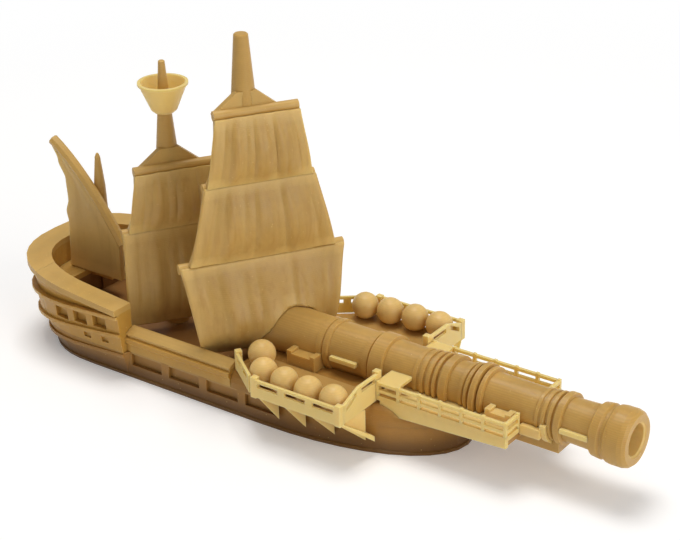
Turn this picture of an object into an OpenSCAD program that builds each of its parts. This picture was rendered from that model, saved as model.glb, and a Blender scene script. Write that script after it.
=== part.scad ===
// Sailing-ship game token with a great gun for a bow, in millimetres.
// +X is the bow, +Y is port, +Z is up. The origin lies on the flat base, on the fore mast's axis.

/* [Hull] */
// Half-breadth of the hull at the waist
waist_half_breadth = 9.9; // [9.6:0.1:10.2]
// Half-breadth of the hull at the stern, at the base
stern_half_breadth = 9.9; // [9.7:0.1:10.2]
// Outward flare of the stern sides, from the base to the hull top
stern_flare = 0.8; // [0.6:0.1:1]
// Station of the bow shoulder, forward of the fore mast
bow_shoulder_x = 9; // [8:0.5:10]
// Length of the curved bow, from its shoulder to the stem
bow_length = 23.3; // [22:0.1:24]
// Fullness of the bow in plan, where 2 is an ellipse
bow_fullness = 2.1; // [2:0.1:2.4]
// Station of the stern shoulder, aft of the fore mast
stern_shoulder_x = -19; // [-21:0.5:-17]
// Length of the curved stern at the base, from its shoulder
stern_length = 10.9; // [9.5:0.1:12]
// Overhang of the counter, from the base to the hull top
counter_overhang = 2.1; // [1:0.1:2.6]
// Fullness of the stern in plan, where 2 is an ellipse
stern_fullness = 2.6; // [2.2:0.1:3]
// Height of the hull block
hull_h = 3.6; // [3.2:0.1:4]
// How far the base lip stands out all round
base_lip = 0.2; // [0.1:0.05:0.3]
// Height of the base lip
base_lip_h = 0.35; // [0.2:0.05:0.6]

/* [Hull panels and wale] */
// Length of a sunk panel in the hull side
panel_length = 5; // [3:0.1:5.4]
// Height of a sunk panel
panel_h = 1.65; // [1:0.05:1.7]
// Depth of a sunk panel
panel_depth = 0.45; // [0.2:0.05:0.8]
// Distance of the first panel forward of the castle
panel_inset = 0.7; // [0.7:0.1:1.2]
// Distance from one panel to the next
panel_pitch = 6.2; // [5.8:0.1:7]
// Panels on each side
panel_count = 4; // [2:1:4]
// Height of the panels' lower edge
panel_z = 1.75; // [1.2:0.05:1.8]
// Height of the stern wale at the castle's fore end
wale_z_fore = 2.9; // [2.6:0.1:3]
// Height of the stern wale at the stern
wale_z_aft = 1.7; // [1.2:0.1:2.4]
// Height of the wale's section
wale_h = 0.45; // [0.3:0.05:0.6]
// How far the wale stands out
wale_out = 0.35; // [0.2:0.05:0.5]

/* [Decks] */
// Thickness of the main deck plate
deck_t = 0.5; // [0.4:0.1:0.8]
// Height of the quarterdeck
quarterdeck_z = 8.1; // [7.9:0.1:8.6]
// Thickness of the quarterdeck
quarterdeck_t = 0.8; // [0.7:0.1:1.2]
// Station of the quarterdeck's fore edge
quarterdeck_edge_x = -27.2; // [-27.4:0.1:-26.4]
// Reach of the quarterdeck's tongue forward of the mizzen mast
tongue_l = 1.8; // [1.4:0.1:2.2]
// Reach of that tongue to port of the mast
tongue_out = 1.8; // [1.4:0.1:2.2]
// Thickness of the cabin bulkhead
bulkhead_t = 0.8; // [0.6:0.1:1]
// Width of the sunk cabin door
door_w = 2.4; // [1.6:0.1:3]
// Height of the sunk cabin door
door_h = 2.8; // [2:0.1:3.4]
// Depth of the sunk door
door_depth = 0.3; // [0.2:0.05:0.4]

/* [Stern castle] */
// Station of the castle's fore end
castle_fore_x = -13; // [-14:0.1:-12.5]
// Half-breadth of the castle walls under the rail
castle_half_breadth = 11.4; // [11:0.1:12]
// Length of the curved stern under the rail
castle_stern_length = 14.9; // [13.5:0.1:16]
// Station where the castle sides meet the transom
transom_split_x = -27.5; // [-28.5:0.1:-26.5]
// Thickness of the castle walls at the hull top
castle_wall_t = 2; // [1.7:0.05:2.1]
// Ledge inside the walls that carries the quarterdeck
deck_ledge = 0.5; // [0.3:0.05:0.6]
// Height of the middle ledge at the fore end
ledge_z_fore = 6; // [5.6:0.1:6.2]
// Height of the middle ledge at the stern
ledge_z_aft = 3.9; // [3.8:0.1:4.6]
// Height of the cornice over the windows at the fore end
cornice_z_fore = 8.6; // [8.4:0.1:8.7]
// Height of the cornice over the windows at the stern
cornice_z_aft = 7.3; // [7:0.1:8]
// Height of a ledge's section
ledge_h = 0.4; // [0.3:0.05:0.5]
// How far a ledge stands out
ledge_out = 0.35; // [0.2:0.05:0.5]
// Depth of the cove under the rail
cove_depth = 0.4; // [0.2:0.05:0.6]
// Width of a window
window_w = 2.3; // [1.6:0.1:2.4]
// Height of a window
window_h = 1.6; // [1.2:0.1:1.7]
// Depth of a window's recess
window_depth = 0.8; // [0.4:0.1:1]
// Station of the foremost window
window_x = -16.4; // [-17:0.1:-15.8]
// Distance from one side window to the next
window_pitch = 3.4; // [3.2:0.1:3.5]
// Width of a lower port
port_w = 1.2; // [0.8:0.1:1.6]
// Height of a lower port
port_h = 0.8; // [0.4:0.1:1]

/* [Stern rail] */
// Height of the rail's top at the castle's fore end
rail_z_fore = 10; // [9.8:0.1:10.4]
// Height of the rail's top at the stern
rail_z_aft = 12; // [11.6:0.1:12.6]
// Thickness of the rail
rail_t = 0.8; // [0.5:0.1:1]
// Width of the rail on the sides
rail_w = 3.1; // [2.8:0.1:3.2]
// Width of the rail across the stern
rail_w_aft = 3; // [2.8:0.1:3.4]
// Overhang of the rail outside the walls
rail_out = 0.4; // [0.2:0.1:0.6]

/* [Bulwarks] */
// Thickness of the waist bulwarks
bulwark_t = 1.2; // [0.9:0.1:1.3]
// Height of the cap rail's inner edge
cap_z = 6.7; // [6.4:0.1:7]
// Height of the cap rail's section
cap_t = 0.8; // [0.6:0.1:1]
// Fall of the cap rail's top toward its outer edge
cap_fall = 0.55; // [0.3:0.05:0.6]
// How far the cap rail stands in over the deck
cap_in = 0.35; // [0.2:0.05:0.4]
// Height of the strake along the bulwark
strake_h = 0.6; // [0.4:0.1:0.8]
// How far the strake stands out
strake_out = 0.25; // [0.1:0.05:0.3]
// Height of the strake's lower edge over the hull top
strake_up = 1.3; // [1.1:0.1:1.4]

/* [Forecastle and bow] */
// Height of the forecastle deck
forecastle_z = 5.9; // [5.8:0.1:6.2]
// Station of the forecastle's aft face
forecastle_aft_x = 4; // [3.6:0.1:4.1]
// Inset of the rounded shoulder at the deck
shoulder_round = 1.5; // [1.2:0.1:2]
// Station of the cheeks' aft ends
bed_aft_x = 24; // [23.8:0.1:26]
// Height of the cheeks' top
bed_z = 6.3; // [6.2:0.05:6.4]
// Height of the cheeks' underside at their aft ends
bed_under_z = 4.65; // [4.4:0.05:4.8]
// Rise of the cheeks' underside per millimetre of length
bed_slope = 0.048; // [0.03:0.002:0.06]
// Half-width of the beam under the barrel
beam_half_w = 1.5; // [1:0.1:2]
// Station of the beam's fore end
beam_fore_x = 45.6; // [44.6:0.1:46.5]
// Height of the beam's underside
beam_z = 3.95; // [3.7:0.05:4.2]
// Station of the beam's aft end
beam_aft_x = 28; // [26:0.1:30]

/* [Galleries] */
// Reach of the galleries outside the hull side
gallery_reach = 3.6; // [3.4:0.1:4.2]
// Station of the gallery's aft outer corner
gallery_aft_x = 10.2; // [9.6:0.1:11]
// Station of the gallery's fore corner
gallery_fore_x = 23.4; // [23.2:0.1:23.5]
// Station where the gallery's slanted rail starts at the bulwark
gallery_root_x = 4.2; // [4.15:0.01:4.3]
// Distance of that start from the centre line
gallery_root_y = 9; // [8.6:0.1:9.4]
// Distance of the floor's inner edge from the centre line
gallery_inner_y = 5; // [4.95:0.05:5.2]
// Thickness of the gallery floor
gallery_floor_t = 0.3; // [0.25:0.05:0.5]
// Thickness of the gallery rails
gallery_rail_t = 0.35; // [0.3:0.05:0.5]
// Height of the gallery rails' top
gallery_rail_z = 8.35; // [8.2:0.05:8.8]
// Height of the fore rail's top where it climbs to the walkway
gallery_climb_z = 9.5; // [9.1:0.05:9.7]
// Height of the gallery rails' lower edge
gallery_skirt_z = 6; // [5.95:0.05:6.1]
// Side of a corner post
gallery_post = 0.8; // [0.6:0.05:0.9]
// Height of a see-through slot in a gallery rail
slot_h = 0.6; // [0.4:0.05:0.7]
// Height of the bar over the slots
top_bar_h = 0.4; // [0.3:0.05:0.6]
// Width of the stays between slots
slot_stay = 1; // [0.6:0.05:1.2]
// Knees under each gallery
knee_count = 4; // [3:1:5]
// Thickness of a knee
knee_t = 0.8; // [0.5:0.1:1.2]
// How far a knee leans forward on its way to the hull side
knee_lean = 1.2; // [0.6:0.1:1.4]
// Gap between a knee's foot and the hull side
knee_gap = 0.35; // [0.3:0.05:0.5]
// Height of the knees' feet on the hull side
knee_root_z = 1.8; // [1.4:0.1:2.4]
// Height of the strut's foot at the gallery's fore end
strut_t = 0.7; // [0.5:0.1:0.9]
// Diameter of a cannonball
ball_d = 3.5; // [3:0.1:3.5]

/* [Walkways] */
// Station of the walkways' fore end
walkway_fore_x = 41.4; // [40:0.1:41.6]
// Half-width over the walkways
walkway_half_w = 6.3; // [6.1:0.1:6.6]
// Thickness of a walkway plank
walkway_t = 0.6; // [0.5:0.1:0.7]
// Thickness of the side boards under the walkways
fascia_t = 0.6; // [0.4:0.1:0.8]
// Height of a walkway rail over its plank
guard_h = 1.8; // [1.6:0.1:2]
// Side of a rail bar or post
bar = 0.4; // [0.3:0.05:0.5]
// Posts along each walkway rail
post_count = 7; // [4:1:9]
// How far the posts stand up over the bar
post_up = 0.12; // [0:0.02:0.2]
// Length of the step plate at the rail's aft end
step_l = 3; // [2:0.1:4]

/* [Cannon] */
// Height of the barrel's axis
barrel_z = 8; // [7.9:0.05:8.2]
// Station of the barrel's breech face
breech_x = 2.4; // [2.2:0.1:3]
// Station of the muzzle face
muzzle_x = 54.7; // [54:0.1:57]
// Radius of the barrel behind its first ring
breech_r = 3.25; // [3:0.05:3.4]
// Radius of the barrel's neck
neck_r = 2.64; // [2.4:0.02:2.8]
// Radius of the muzzle swell
muzzle_r = 3.5; // [3.3:0.05:3.7]
// Radius of the bore
bore_r = 1.94; // [1.5:0.02:2.1]
// Depth of the bore
bore_depth = 14; // [8:1:24]
// Length of a side lug
lug_l = 3.8; // [2.5:0.1:4.5]
// Height of a side lug
lug_h = 0.55; // [0.4:0.05:0.8]
// How far a lug stands out of the barrel
lug_out = 0.55; // [0.3:0.05:0.7]
// Length of an aft chock
chock_aft_l = 4.2; // [3:0.1:4.6]
// Height of an aft chock
chock_aft_h = 2.1; // [1.7:0.1:2.3]
// Width of an aft chock
chock_aft_w = 1.5; // [1:0.1:1.7]
// Station of the aft chocks
chock_aft_x = 9; // [8.6:0.1:9.4]
// Length of a fore chock
chock_fore_l = 3.4; // [2.6:0.1:3.8]
// Height of a fore chock
chock_fore_h = 1.6; // [1.2:0.1:1.8]
// Width of a fore chock
chock_fore_w = 0.9; // [0.7:0.1:1.2]
// Width of the straps beside the barrel
strap_w = 0.7; // [0.4:0.1:1]
// Thickness of those straps
strap_t = 0.4; // [0.3:0.05:0.5]

/* [Masts] */
// Height of the fore mast's top
fore_top_z = 45.8; // [43:0.1:48]
// Height of the main mast's top
main_top_z = 40; // [38:0.1:42]
// Height of the mizzen mast's top
mizzen_top_z = 24.9; // [24:0.1:26]
// Station of the main mast
main_x = -12.9; // [-13.2:0.1:-12.6]
// Station of the mizzen mast
mizzen_x = -25.2; // [-25.6:0.1:-25]
// Radius of the fore mast's trunk
fore_r = 1.5; // [1.3:0.05:1.6]
// Radius of the main mast's trunk
main_r = 1.35; // [1.1:0.05:1.4]
// Radius of the mizzen mast at the quarterdeck
mizzen_r = 0.95; // [0.85:0.05:1]
// Height of the rings at the feet of the fore and main masts
mast_foot_h = 1.2; // [0.8:0.1:1.4]
// Radius of the fore and main masts' pegs
peg_r = 1.1; // [0.8:0.05:1.1]
// Depth of those pegs under the deck's top
peg_depth = 3; // [2:0.1:3.4]
// Radius of the mizzen mast's peg
mizzen_peg_r = 0.6; // [0.5:0.02:0.62]
// Height of the crow's nest rim
nest_z = 37.2; // [36.5:0.1:37.8]
// Radius of the crow's nest rim
nest_r = 3.2; // [2.8:0.1:3.6]
// Height of the crow's nest
nest_h = 4; // [3.4:0.1:4.4]
// Wall of the crow's nest
nest_wall = 0.4; // [0.3:0.05:0.6]

/* [Yards and sails] */
// Angle that the square yards are braced round
brace = 33.5; // [31:0.5:35]
// Radius of the yards
yard_r = 0.66; // [0.6:0.02:0.7]
// Distance of the yards forward of their mast
yard_fore = 1.8; // [1.7:0.05:2]
// Height of the fore topgallant yard
fore_upper_z = 36.4; // [35.8:0.1:37]
// Half-length of the fore topgallant yard
fore_upper_l = 5.4; // [4.8:0.1:6]
// Height of the fore topsail yard
fore_middle_z = 27.2; // [26.6:0.1:27.8]
// Half-length of the fore topsail yard
fore_middle_l = 7.2; // [6.6:0.1:7.8]
// Height of the fore course yard
fore_lower_z = 17.1; // [16.6:0.1:17.6]
// Half-length of the fore course yard
fore_lower_l = 10.8; // [10.2:0.1:11]
// Height of the main topsail yard
main_upper_z = 26.3; // [25.8:0.1:26.8]
// Half-length of the main topsail yard
main_upper_l = 5.9; // [5.2:0.1:6.4]
// Height of the main course yard
main_lower_z = 18.1; // [17.6:0.1:18.6]
// Half-length of the main course yard
main_lower_l = 8; // [7.4:0.1:8.4]
// Half-width of the fore course at its foot
course_foot_l = 8.6; // [8.2:0.1:8.6]
// Thickness of the sails
sail_t = 1; // [0.8:0.1:1.2]
// Belly of the fore course
course_belly = 3.7; // [3:0.1:4]
// Belly of the other square sails
sail_belly = 1.5; // [0.8:0.1:2]
// Depth of the folds in the sails
fold_depth = 0.16; // [0:0.02:0.25]
// Folds across a sail
fold_count = 4; // [2:1:5]
// Height of the knees over the upper yards
gusset_h = 2.5; // [2:0.1:2.8]
// Half-width of those knees
gusset_half_w = 4.4; // [4:0.1:4.8]
// Thickness of those knees
gusset_t = 0.9; // [0.7:0.1:1]
// How far the knees' back lies behind the yard's axis
gusset_back = 1; // [0.8:0.1:1.1]
// Radius of the lateen yard
lateen_r = 0.7; // [0.5:0.05:0.8]
// Thickness of the lateen sail
lateen_t = 0.8; // [0.6:0.1:0.8]

/* [Fits] */
// Gap at joints that are glued
fit_gap = 0.03; // [0.02:0.01:0.05]
// Radial clearance of the mast pegs in their sockets
peg_clearance = 0.05; // [0.03:0.01:0.08]
// Clearance of the fore course round the barrel
notch_clearance = 0.08; // [0.05:0.01:0.1]
// Clearance round what a lifted mast carries past fixed pieces
lift_clearance = 0.3; // [0.25:0.05:0.4]

/* [Hidden] */
$fn = 48;

// Resin colours, from the shaded hull to the thin pale rails
hull_colour = [0.60, 0.45, 0.26];
deck_colour = [0.66, 0.50, 0.29];
sail_colour = [0.70, 0.55, 0.32];
barrel_colour = [0.72, 0.54, 0.31];
rail_colour = [0.80, 0.68, 0.42];

// Steps along each curved end of the hull, and rows and columns in a sail
curve_steps = 10;
sail_rows = 6;
sail_cols = 16;
far = 100;

// Heights and half-breadths that several pieces share
deck_z = hull_h + deck_t;
hull_top_b = stern_half_breadth + stern_flare;
hull_top_a = stern_length + counter_overhang;
inner_b = hull_top_b - castle_wall_t;
inner_a = hull_top_a - castle_wall_t;
rail_b = castle_half_breadth + rail_out;
rail_a = castle_stern_length + rail_out;
quarterdeck_a = rail_a - rail_w_aft;
quarterdeck_b = inner_b + deck_ledge;
stern_tip_x = stern_shoulder_x - rail_a;
quarterdeck_under_z = quarterdeck_z - quarterdeck_t;
bulwark_in = waist_half_breadth - bulwark_t;
gallery_half_w = waist_half_breadth + gallery_reach;
gallery_floor_z = forecastle_z + gallery_floor_t;
walkway_z = bed_z + walkway_t;
bed_fore_x = walkway_fore_x - 0.2;
bed_half_w = walkway_half_w - fascia_t;
mizzen_cross_r = 0.8 * mizzen_r;
hull_step = 0.6;
lateen_y = -(mizzen_cross_r + lateen_r + fit_gap);

// Quarter of a superellipse, from its tip to its shoulder
function quarter(a, b, n) = [
    for (i = [0:curve_steps])
        let (t = 90 * i / curve_steps)
            [a * pow(cos(t), 2 / n), b * pow(sin(t), 2 / n)]];
function reversed(list) = [for (i = [len(list) - 1:-1:0]) list[i]];
// Closed plan from one side of it, which runs from a point on the centre line to another
function both_sides(side) = concat(side, [for (i = [len(side) - 2:-1:1]) [side[i][0], -side[i][1]]]);
function bow_side(a, b) = [for (p = quarter(a, b, bow_fullness)) [bow_shoulder_x + p[0], p[1]]];
function stern_side(a, b) =
    reversed([for (p = quarter(a, b, stern_fullness)) [stern_shoulder_x - p[0], p[1]]]);
// Plan of the whole hull, from the stern round the starboard side
function hull_plan(bow_a, mid_b, stern_a, stern_b) =
    let (port = concat(
        bow_side(bow_a, mid_b),
        [[castle_fore_x + hull_step, mid_b], [castle_fore_x, stern_b]],
        stern_side(stern_a, stern_b)))
        both_sides([for (p = reversed(port)) [p[0], -p[1]]]);
// Plan of the stern only, open at its straight fore end
function stern_plan(a, b, fore_x) =
    let (side = stern_side(a, b))
        concat(
            [[fore_x, b]],
            side,
            [for (i = [len(side) - 2:-1:0]) [side[i][0], -side[i][1]]],
            [[fore_x, -b]]);
// Plan of the forecastle, inset from the hull side
function forecastle_plan(inset) =
    let (side = bow_side(bow_length - inset, waist_half_breadth - inset))
        concat(
            [for (i = [len(side) - 1:-1:1]) [side[i][0], -side[i][1]]],
            side,
            [[forecastle_aft_x, waist_half_breadth - inset],
             [forecastle_aft_x, inset - waist_half_breadth]]);
// Ring of points on a plan, flat or rising evenly from the castle's fore end to the stern
function ring(plan, z) = [for (p = plan) [p[0], p[1], z]];
function rise(x, z_fore, z_aft) =
    z_fore + (z_aft - z_fore) * (castle_fore_x - x) / (castle_fore_x - stern_tip_x);
function sloped_ring(plan, z_fore, z_aft) = [for (p = plan) [p[0], p[1], rise(p[0], z_fore, z_aft)]];
// Half-breadth of a stern plan at a station
function stern_breadth(x, a, b) =
    let (t = max(0, stern_shoulder_x - x) / a)
        b * pow(1 - pow(t, stern_fullness), 1 / stern_fullness);

// Closed solid through rings of equal length, listed from the lowest to the highest
// The end faces are whole for convex rings, and strips of quads for thin curved ones
module loft(rings, strip = false) {
    n = len(rings[0]);
    m = len(rings);
    ends = strip ? [for (j = [0:n / 2 - 2]) [j, j + 1, n - 2 - j, n - 1 - j]] : [[for (i = [0:n - 1]) i]];
    polyhedron(
        points = [for (r = rings) each r],
        faces = concat(
            ends,
            [for (f = ends) [for (i = reversed(f)) (m - 1) * n + i]],
            [for (k = [0:m - 2]) for (i = [0:n - 1])
                [k * n + i, (k + 1) * n + i, (k + 1) * n + (i + 1) % n]],
            [for (k = [0:m - 2]) for (i = [0:n - 1])
                [k * n + i, (k + 1) * n + (i + 1) % n, k * n + (i + 1) % n]]));
}
module port_of() {
    mirror([0, 1, 0])
        children();
}
// Starboard plate from an outline in X and Z, between two distances from the centre line
module side_plate(points, y_in, y_out) {
    translate([0, -y_in, 0])
        rotate([90, 0, 0])
            linear_extrude(y_out - y_in)
                polygon(points);
}
// Solid of revolution about the barrel's axis, from points of station and radius
module turned_on_barrel_axis(points) {
    translate([0, 0, barrel_z])
        rotate([0, 90, 0])
            rotate_extrude($fn = 72)
                polygon([for (p = points) [p[1], p[0]]]);
}

// Hull block: flat base, flared stern, sunk panels along the waist and a wale round the stern
function hull_ring(z, inset) =
    ring(hull_plan(
        bow_length - inset,
        waist_half_breadth - inset,
        stern_length + counter_overhang * z / hull_h - inset,
        stern_half_breadth + stern_flare * z / hull_h - inset), z);
module hull_block() {
    loft([
        hull_ring(0, -base_lip), hull_ring(base_lip_h, -base_lip),
        hull_ring(base_lip_h + base_lip / 2, 0), hull_ring(hull_h, 0)]);
}
module stern_wale() {
    f = (wale_z_fore + wale_z_aft) / 2 / hull_h;
    plan = stern_plan(
        stern_length + counter_overhang * f + wale_out,
        stern_half_breadth + stern_flare * f + wale_out,
        castle_fore_x);
    loft([
        sloped_ring(plan, wale_z_fore, wale_z_aft),
        sloped_ring(plan, wale_z_fore + wale_h, wale_z_aft + wale_h)]);
}
module mast_sockets() {
    for (x = [0, main_x])
        translate([x, 0, deck_z - peg_depth - fit_gap])
            cylinder(r = peg_r + peg_clearance, h = far);
}
module hull() {
    first_x = castle_fore_x + panel_inset;
    color(hull_colour)
        difference() {
            union() {
                hull_block();
                stern_wale();
            }
            for (i = [0:panel_count - 1])
                for (side = [-1, 1])
                    translate([
                        first_x + i * panel_pitch,
                        side * (waist_half_breadth + far / 2 - panel_depth) - far / 2,
                        panel_z])
                        cube([panel_length, far, panel_h]);
            mast_sockets();
        }
}

// Main deck plate between the bulwarks and inside the castle, with two mast sockets
module main_deck() {
    waist_b = bulwark_in - fit_gap;
    aft_x = quarterdeck_edge_x - bulkhead_t;
    color(deck_colour)
        difference() {
            union() {
                intersection() {
                    translate([0, 0, hull_h])
                        linear_extrude(deck_t)
                            polygon(stern_plan(inner_a - fit_gap, inner_b - fit_gap, castle_fore_x + 1));
                    translate([aft_x, -far, 0])
                        cube([far, 2 * far, far]);
                }
                translate([castle_fore_x + fit_gap, -waist_b, hull_h])
                    cube([forecastle_aft_x - castle_fore_x - 2 * fit_gap, 2 * waist_b, deck_t]);
            }
            mast_sockets();
        }
}

// Cabin bulkhead under the quarterdeck's edge, with a sunk door
module cabin_bulkhead() {
    half_w = stern_breadth(quarterdeck_edge_x - bulkhead_t, inner_a, inner_b) - fit_gap;
    color(deck_colour)
        difference() {
            translate([quarterdeck_edge_x - bulkhead_t, -half_w, deck_z])
                cube([bulkhead_t, 2 * half_w, quarterdeck_under_z - deck_z]);
            translate([quarterdeck_edge_x - door_depth, -door_w / 2, deck_z])
                cube([far, door_w, door_h]);
        }
}

// Quarterdeck on the ledge inside the castle walls, its tongue carrying the mizzen mast
module quarterdeck_block(gap, h) {
    intersection() {
        translate([0, 0, quarterdeck_under_z])
            linear_extrude(h)
                polygon(stern_plan(quarterdeck_a - gap, quarterdeck_b - gap, castle_fore_x));
        translate([-far, -far, 0])
            cube([far + quarterdeck_edge_x, 2 * far, 2 * far]);
    }
}
module quarterdeck() {
    tongue_in = -lateen_y - lateen_t / 2 - lift_clearance / 2;
    tongue_aft_x = quarterdeck_edge_x - 1;
    color(deck_colour)
        difference() {
            union() {
                quarterdeck_block(fit_gap, quarterdeck_t);
                translate([tongue_aft_x, -tongue_in, quarterdeck_under_z])
                    cube([mizzen_x + tongue_l - tongue_aft_x, tongue_in + tongue_out, quarterdeck_t]);
            }
            translate([mizzen_x, 0, 0])
                cylinder(r = mizzen_peg_r + peg_clearance, h = far);
        }
}

// Castle walls lean out from the hull top to the rail, fastest at the counter, and run past the fore end
function lean(f) = pow(f, 0.6);
function wall_a(f) = hull_top_a + (castle_stern_length - hull_top_a) * lean(f);
function wall_b(f) = hull_top_b + (castle_half_breadth - hull_top_b) * lean(f);
function wall_ring(f, out, z_fore, z_aft) =
    sloped_ring(stern_plan(wall_a(f) + out, wall_b(f) + out, castle_fore_x + 1 + out), z_fore, z_aft);
module castle_walls() {
    ledge_f = 0.25;
    cornice_f = 0.7;
    difference() {
        loft([
            wall_ring(0, 0, hull_h, hull_h),
            wall_ring(ledge_f, 0, ledge_z_fore, ledge_z_aft),
            wall_ring(ledge_f, ledge_out, ledge_z_fore, ledge_z_aft),
            wall_ring(ledge_f, ledge_out, ledge_z_fore + ledge_h, ledge_z_aft + ledge_h),
            wall_ring(ledge_f, 0, ledge_z_fore + ledge_h, ledge_z_aft + ledge_h),
            wall_ring(cornice_f, 0, cornice_z_fore, cornice_z_aft),
            wall_ring(cornice_f, ledge_out, cornice_z_fore, cornice_z_aft),
            wall_ring(cornice_f, ledge_out, cornice_z_fore + ledge_h, cornice_z_aft + ledge_h),
            wall_ring(cornice_f, -cove_depth, cornice_z_fore + ledge_h, cornice_z_aft + ledge_h),
            wall_ring(1, 0, rail_z_fore - rail_t, rail_z_aft - rail_t)]);
        translate([0, 0, hull_h - 1])
            linear_extrude(far)
                polygon(stern_plan(inner_a, inner_b, far));
        quarterdeck_block(0, far / 2);
    }
}
// Recess cut into a wall at a point, facing along an angle in plan
module wall_recess(x, y, z, angle, w, h, depth) {
    translate([x, y, z])
        rotate([0, 0, angle])
            translate([-depth, -w / 2, -h / 2])
                cube([far / 10, w, h]);
}
function window_z(x) =
    (rise(x, ledge_z_fore, ledge_z_aft) + ledge_h + rise(x, cornice_z_fore, cornice_z_aft)) / 2;
function port_z(x) = (hull_h + rise(x, ledge_z_fore, ledge_z_aft)) / 2 + 0.1;
module side_windows() {
    for (i = [0:2]) {
        x = window_x - i * window_pitch;
        y = -stern_breadth(x, wall_a(0.5), wall_b(0.5));
        wall_recess(x, y, window_z(x), -90, window_w, window_h, window_depth);
    }
    for (i = [0:1]) {
        x = window_x + 0.5 - 0.9 * i * window_pitch;
        y = -stern_breadth(x, wall_a(0.15), wall_b(0.15));
        wall_recess(x, y, port_z(x), -90, port_w, port_h, window_depth / 2);
    }
}
module castle_side() {
    color(hull_colour)
        difference() {
            intersection() {
                castle_walls();
                translate([transom_split_x, -far, 0])
                    cube([castle_fore_x - transom_split_x, far, far]);
            }
            side_windows();
        }
}
// Windows round the transom, set square to the curved wall at equal steps
module castle_transom() {
    a = wall_a(0.5);
    b = wall_b(0.5);
    n = stern_fullness;
    color(hull_colour)
        difference() {
            intersection() {
                castle_walls();
                translate([-far, -far, 0])
                    cube([far + transom_split_x - fit_gap, 2 * far, far]);
            }
            for (share = [-0.74, -0.45, -0.15, 0.15, 0.45, 0.74]) {
                y = share * b;
                run = pow(1 - pow(abs(share), n), 1 / n);
                x = stern_shoulder_x - a * run;
                angle = atan2(sign(share) * pow(abs(share), n - 1) / b, -pow(run, n - 1) / a);
                wall_recess(x, y, window_z(x), angle, window_w, window_h, window_depth);
            }
        }
}

// Flat stern rail on the castle walls, in three lengths
module stern_rail() {
    difference() {
        loft([
            sloped_ring(stern_plan(rail_a, rail_b, castle_fore_x), rail_z_fore - rail_t, rail_z_aft - rail_t),
            sloped_ring(stern_plan(rail_a, rail_b, castle_fore_x), rail_z_fore, rail_z_aft)]);
        linear_extrude(far)
            polygon(stern_plan(rail_a - rail_w_aft, rail_b - rail_w, far));
    }
}
module stern_rail_side() {
    color(rail_colour)
        intersection() {
            stern_rail();
            translate([transom_split_x, -far, 0])
                cube([far, far, far]);
        }
}
module stern_rail_aft() {
    color(rail_colour)
        intersection() {
            stern_rail();
            translate([-far, -far, 0])
                cube([far + transom_split_x - fit_gap, 2 * far, far]);
        }
}

// Waist bulwark with its strake, and the cap rail on top
bulwark_aft_x = castle_fore_x + fit_gap;
bulwark_l = forecastle_aft_x - fit_gap - bulwark_aft_x;
// Starboard length of a section given as distance from the centre line and height
module waist_length(section) {
    translate([bulwark_aft_x, 0, 0])
        rotate([90, 0, 90])
            linear_extrude(bulwark_l)
                polygon([for (p = section) [-p[0], p[1]]]);
}
module bulwark() {
    out = waist_half_breadth;
    strake_z = hull_h + strake_up;
    color(hull_colour)
        waist_length([
            [bulwark_in, hull_h], [out, hull_h], [out, strake_z - strake_out],
            [out + strake_out, strake_z], [out + strake_out, strake_z + strake_h],
            [out - 0.15, strake_z + strake_h + 0.1], [out - 0.15, cap_z - cap_t],
            [bulwark_in, cap_z - cap_t]]);
}
module cap_rail() {
    out = waist_half_breadth;
    color(rail_colour)
        waist_length([
            [bulwark_in - cap_in, cap_z - cap_t], [out, cap_z - cap_t], [out, cap_z - cap_fall],
            [bulwark_in - cap_in + 0.3, cap_z], [bulwark_in - cap_in, cap_z]]);
}

// Barrel: tapering body, muzzle swell and raised bands
// Each band has its start and end in percent of the barrel's length, and its height
body_start_x = breech_x + 1;
barrel_l = muzzle_x - breech_x;
function station(percent) = breech_x + barrel_l * percent / 100;
neck_start_x = station(84.7);
bands = [
    [18.7, 20.5, 0.14], [20.8, 22.4, 0.24], [31.7, 33.5, 0.18], [33.8, 37.8, 0.42],
    [45.7, 46.9, 0.14], [47.6, 48.8, 0.22], [49.5, 50.7, 0.3], [51.2, 52.2, 0.38], [53, 55.1, 0.5],
    [57.9, 59.1, 0.2], [59.5, 60.6, 0.4], [61.1, 62.7, 0.7], [63.1, 64.4, 0.5],
    [77.4, 78.4, 0.14], [79, 80.1, 0.22], [80.7, 81.8, 0.3], [82.4, 84.1, 0.5]];
band_edge = 0.1;
function body_r(x) =
    breech_r + (neck_r - breech_r) * (x - body_start_x) / (neck_start_x - body_start_x);
function band_points(b) =
    let (from = station(b[0]), to = station(b[1]), r0 = body_r(from), r1 = body_r(to))
        [[from, r0], [from + band_edge, r0 + b[2]], [to - band_edge, r1 + b[2]], [to, r1]];
barrel_skin = concat(
    [[breech_x, breech_r - 0.7], [breech_x + 0.4, breech_r - 0.2], [body_start_x, breech_r]],
    [for (b = bands) each band_points(b)],
    [[neck_start_x, neck_r], [muzzle_x - 4.9, neck_r + 0.1],
     [muzzle_x - 4.6, muzzle_r - 0.3], [muzzle_x - 3.6, muzzle_r - 0.18],
     [muzzle_x - 3.3, muzzle_r - 0.4], [muzzle_x - 2.95, muzzle_r - 0.38],
     [muzzle_x - 2.7, muzzle_r - 0.08], [muzzle_x - 2.2, muzzle_r],
     [muzzle_x - 0.9, muzzle_r], [muzzle_x - 0.35, muzzle_r - 0.16], [muzzle_x, muzzle_r - 0.5]]);
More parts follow.
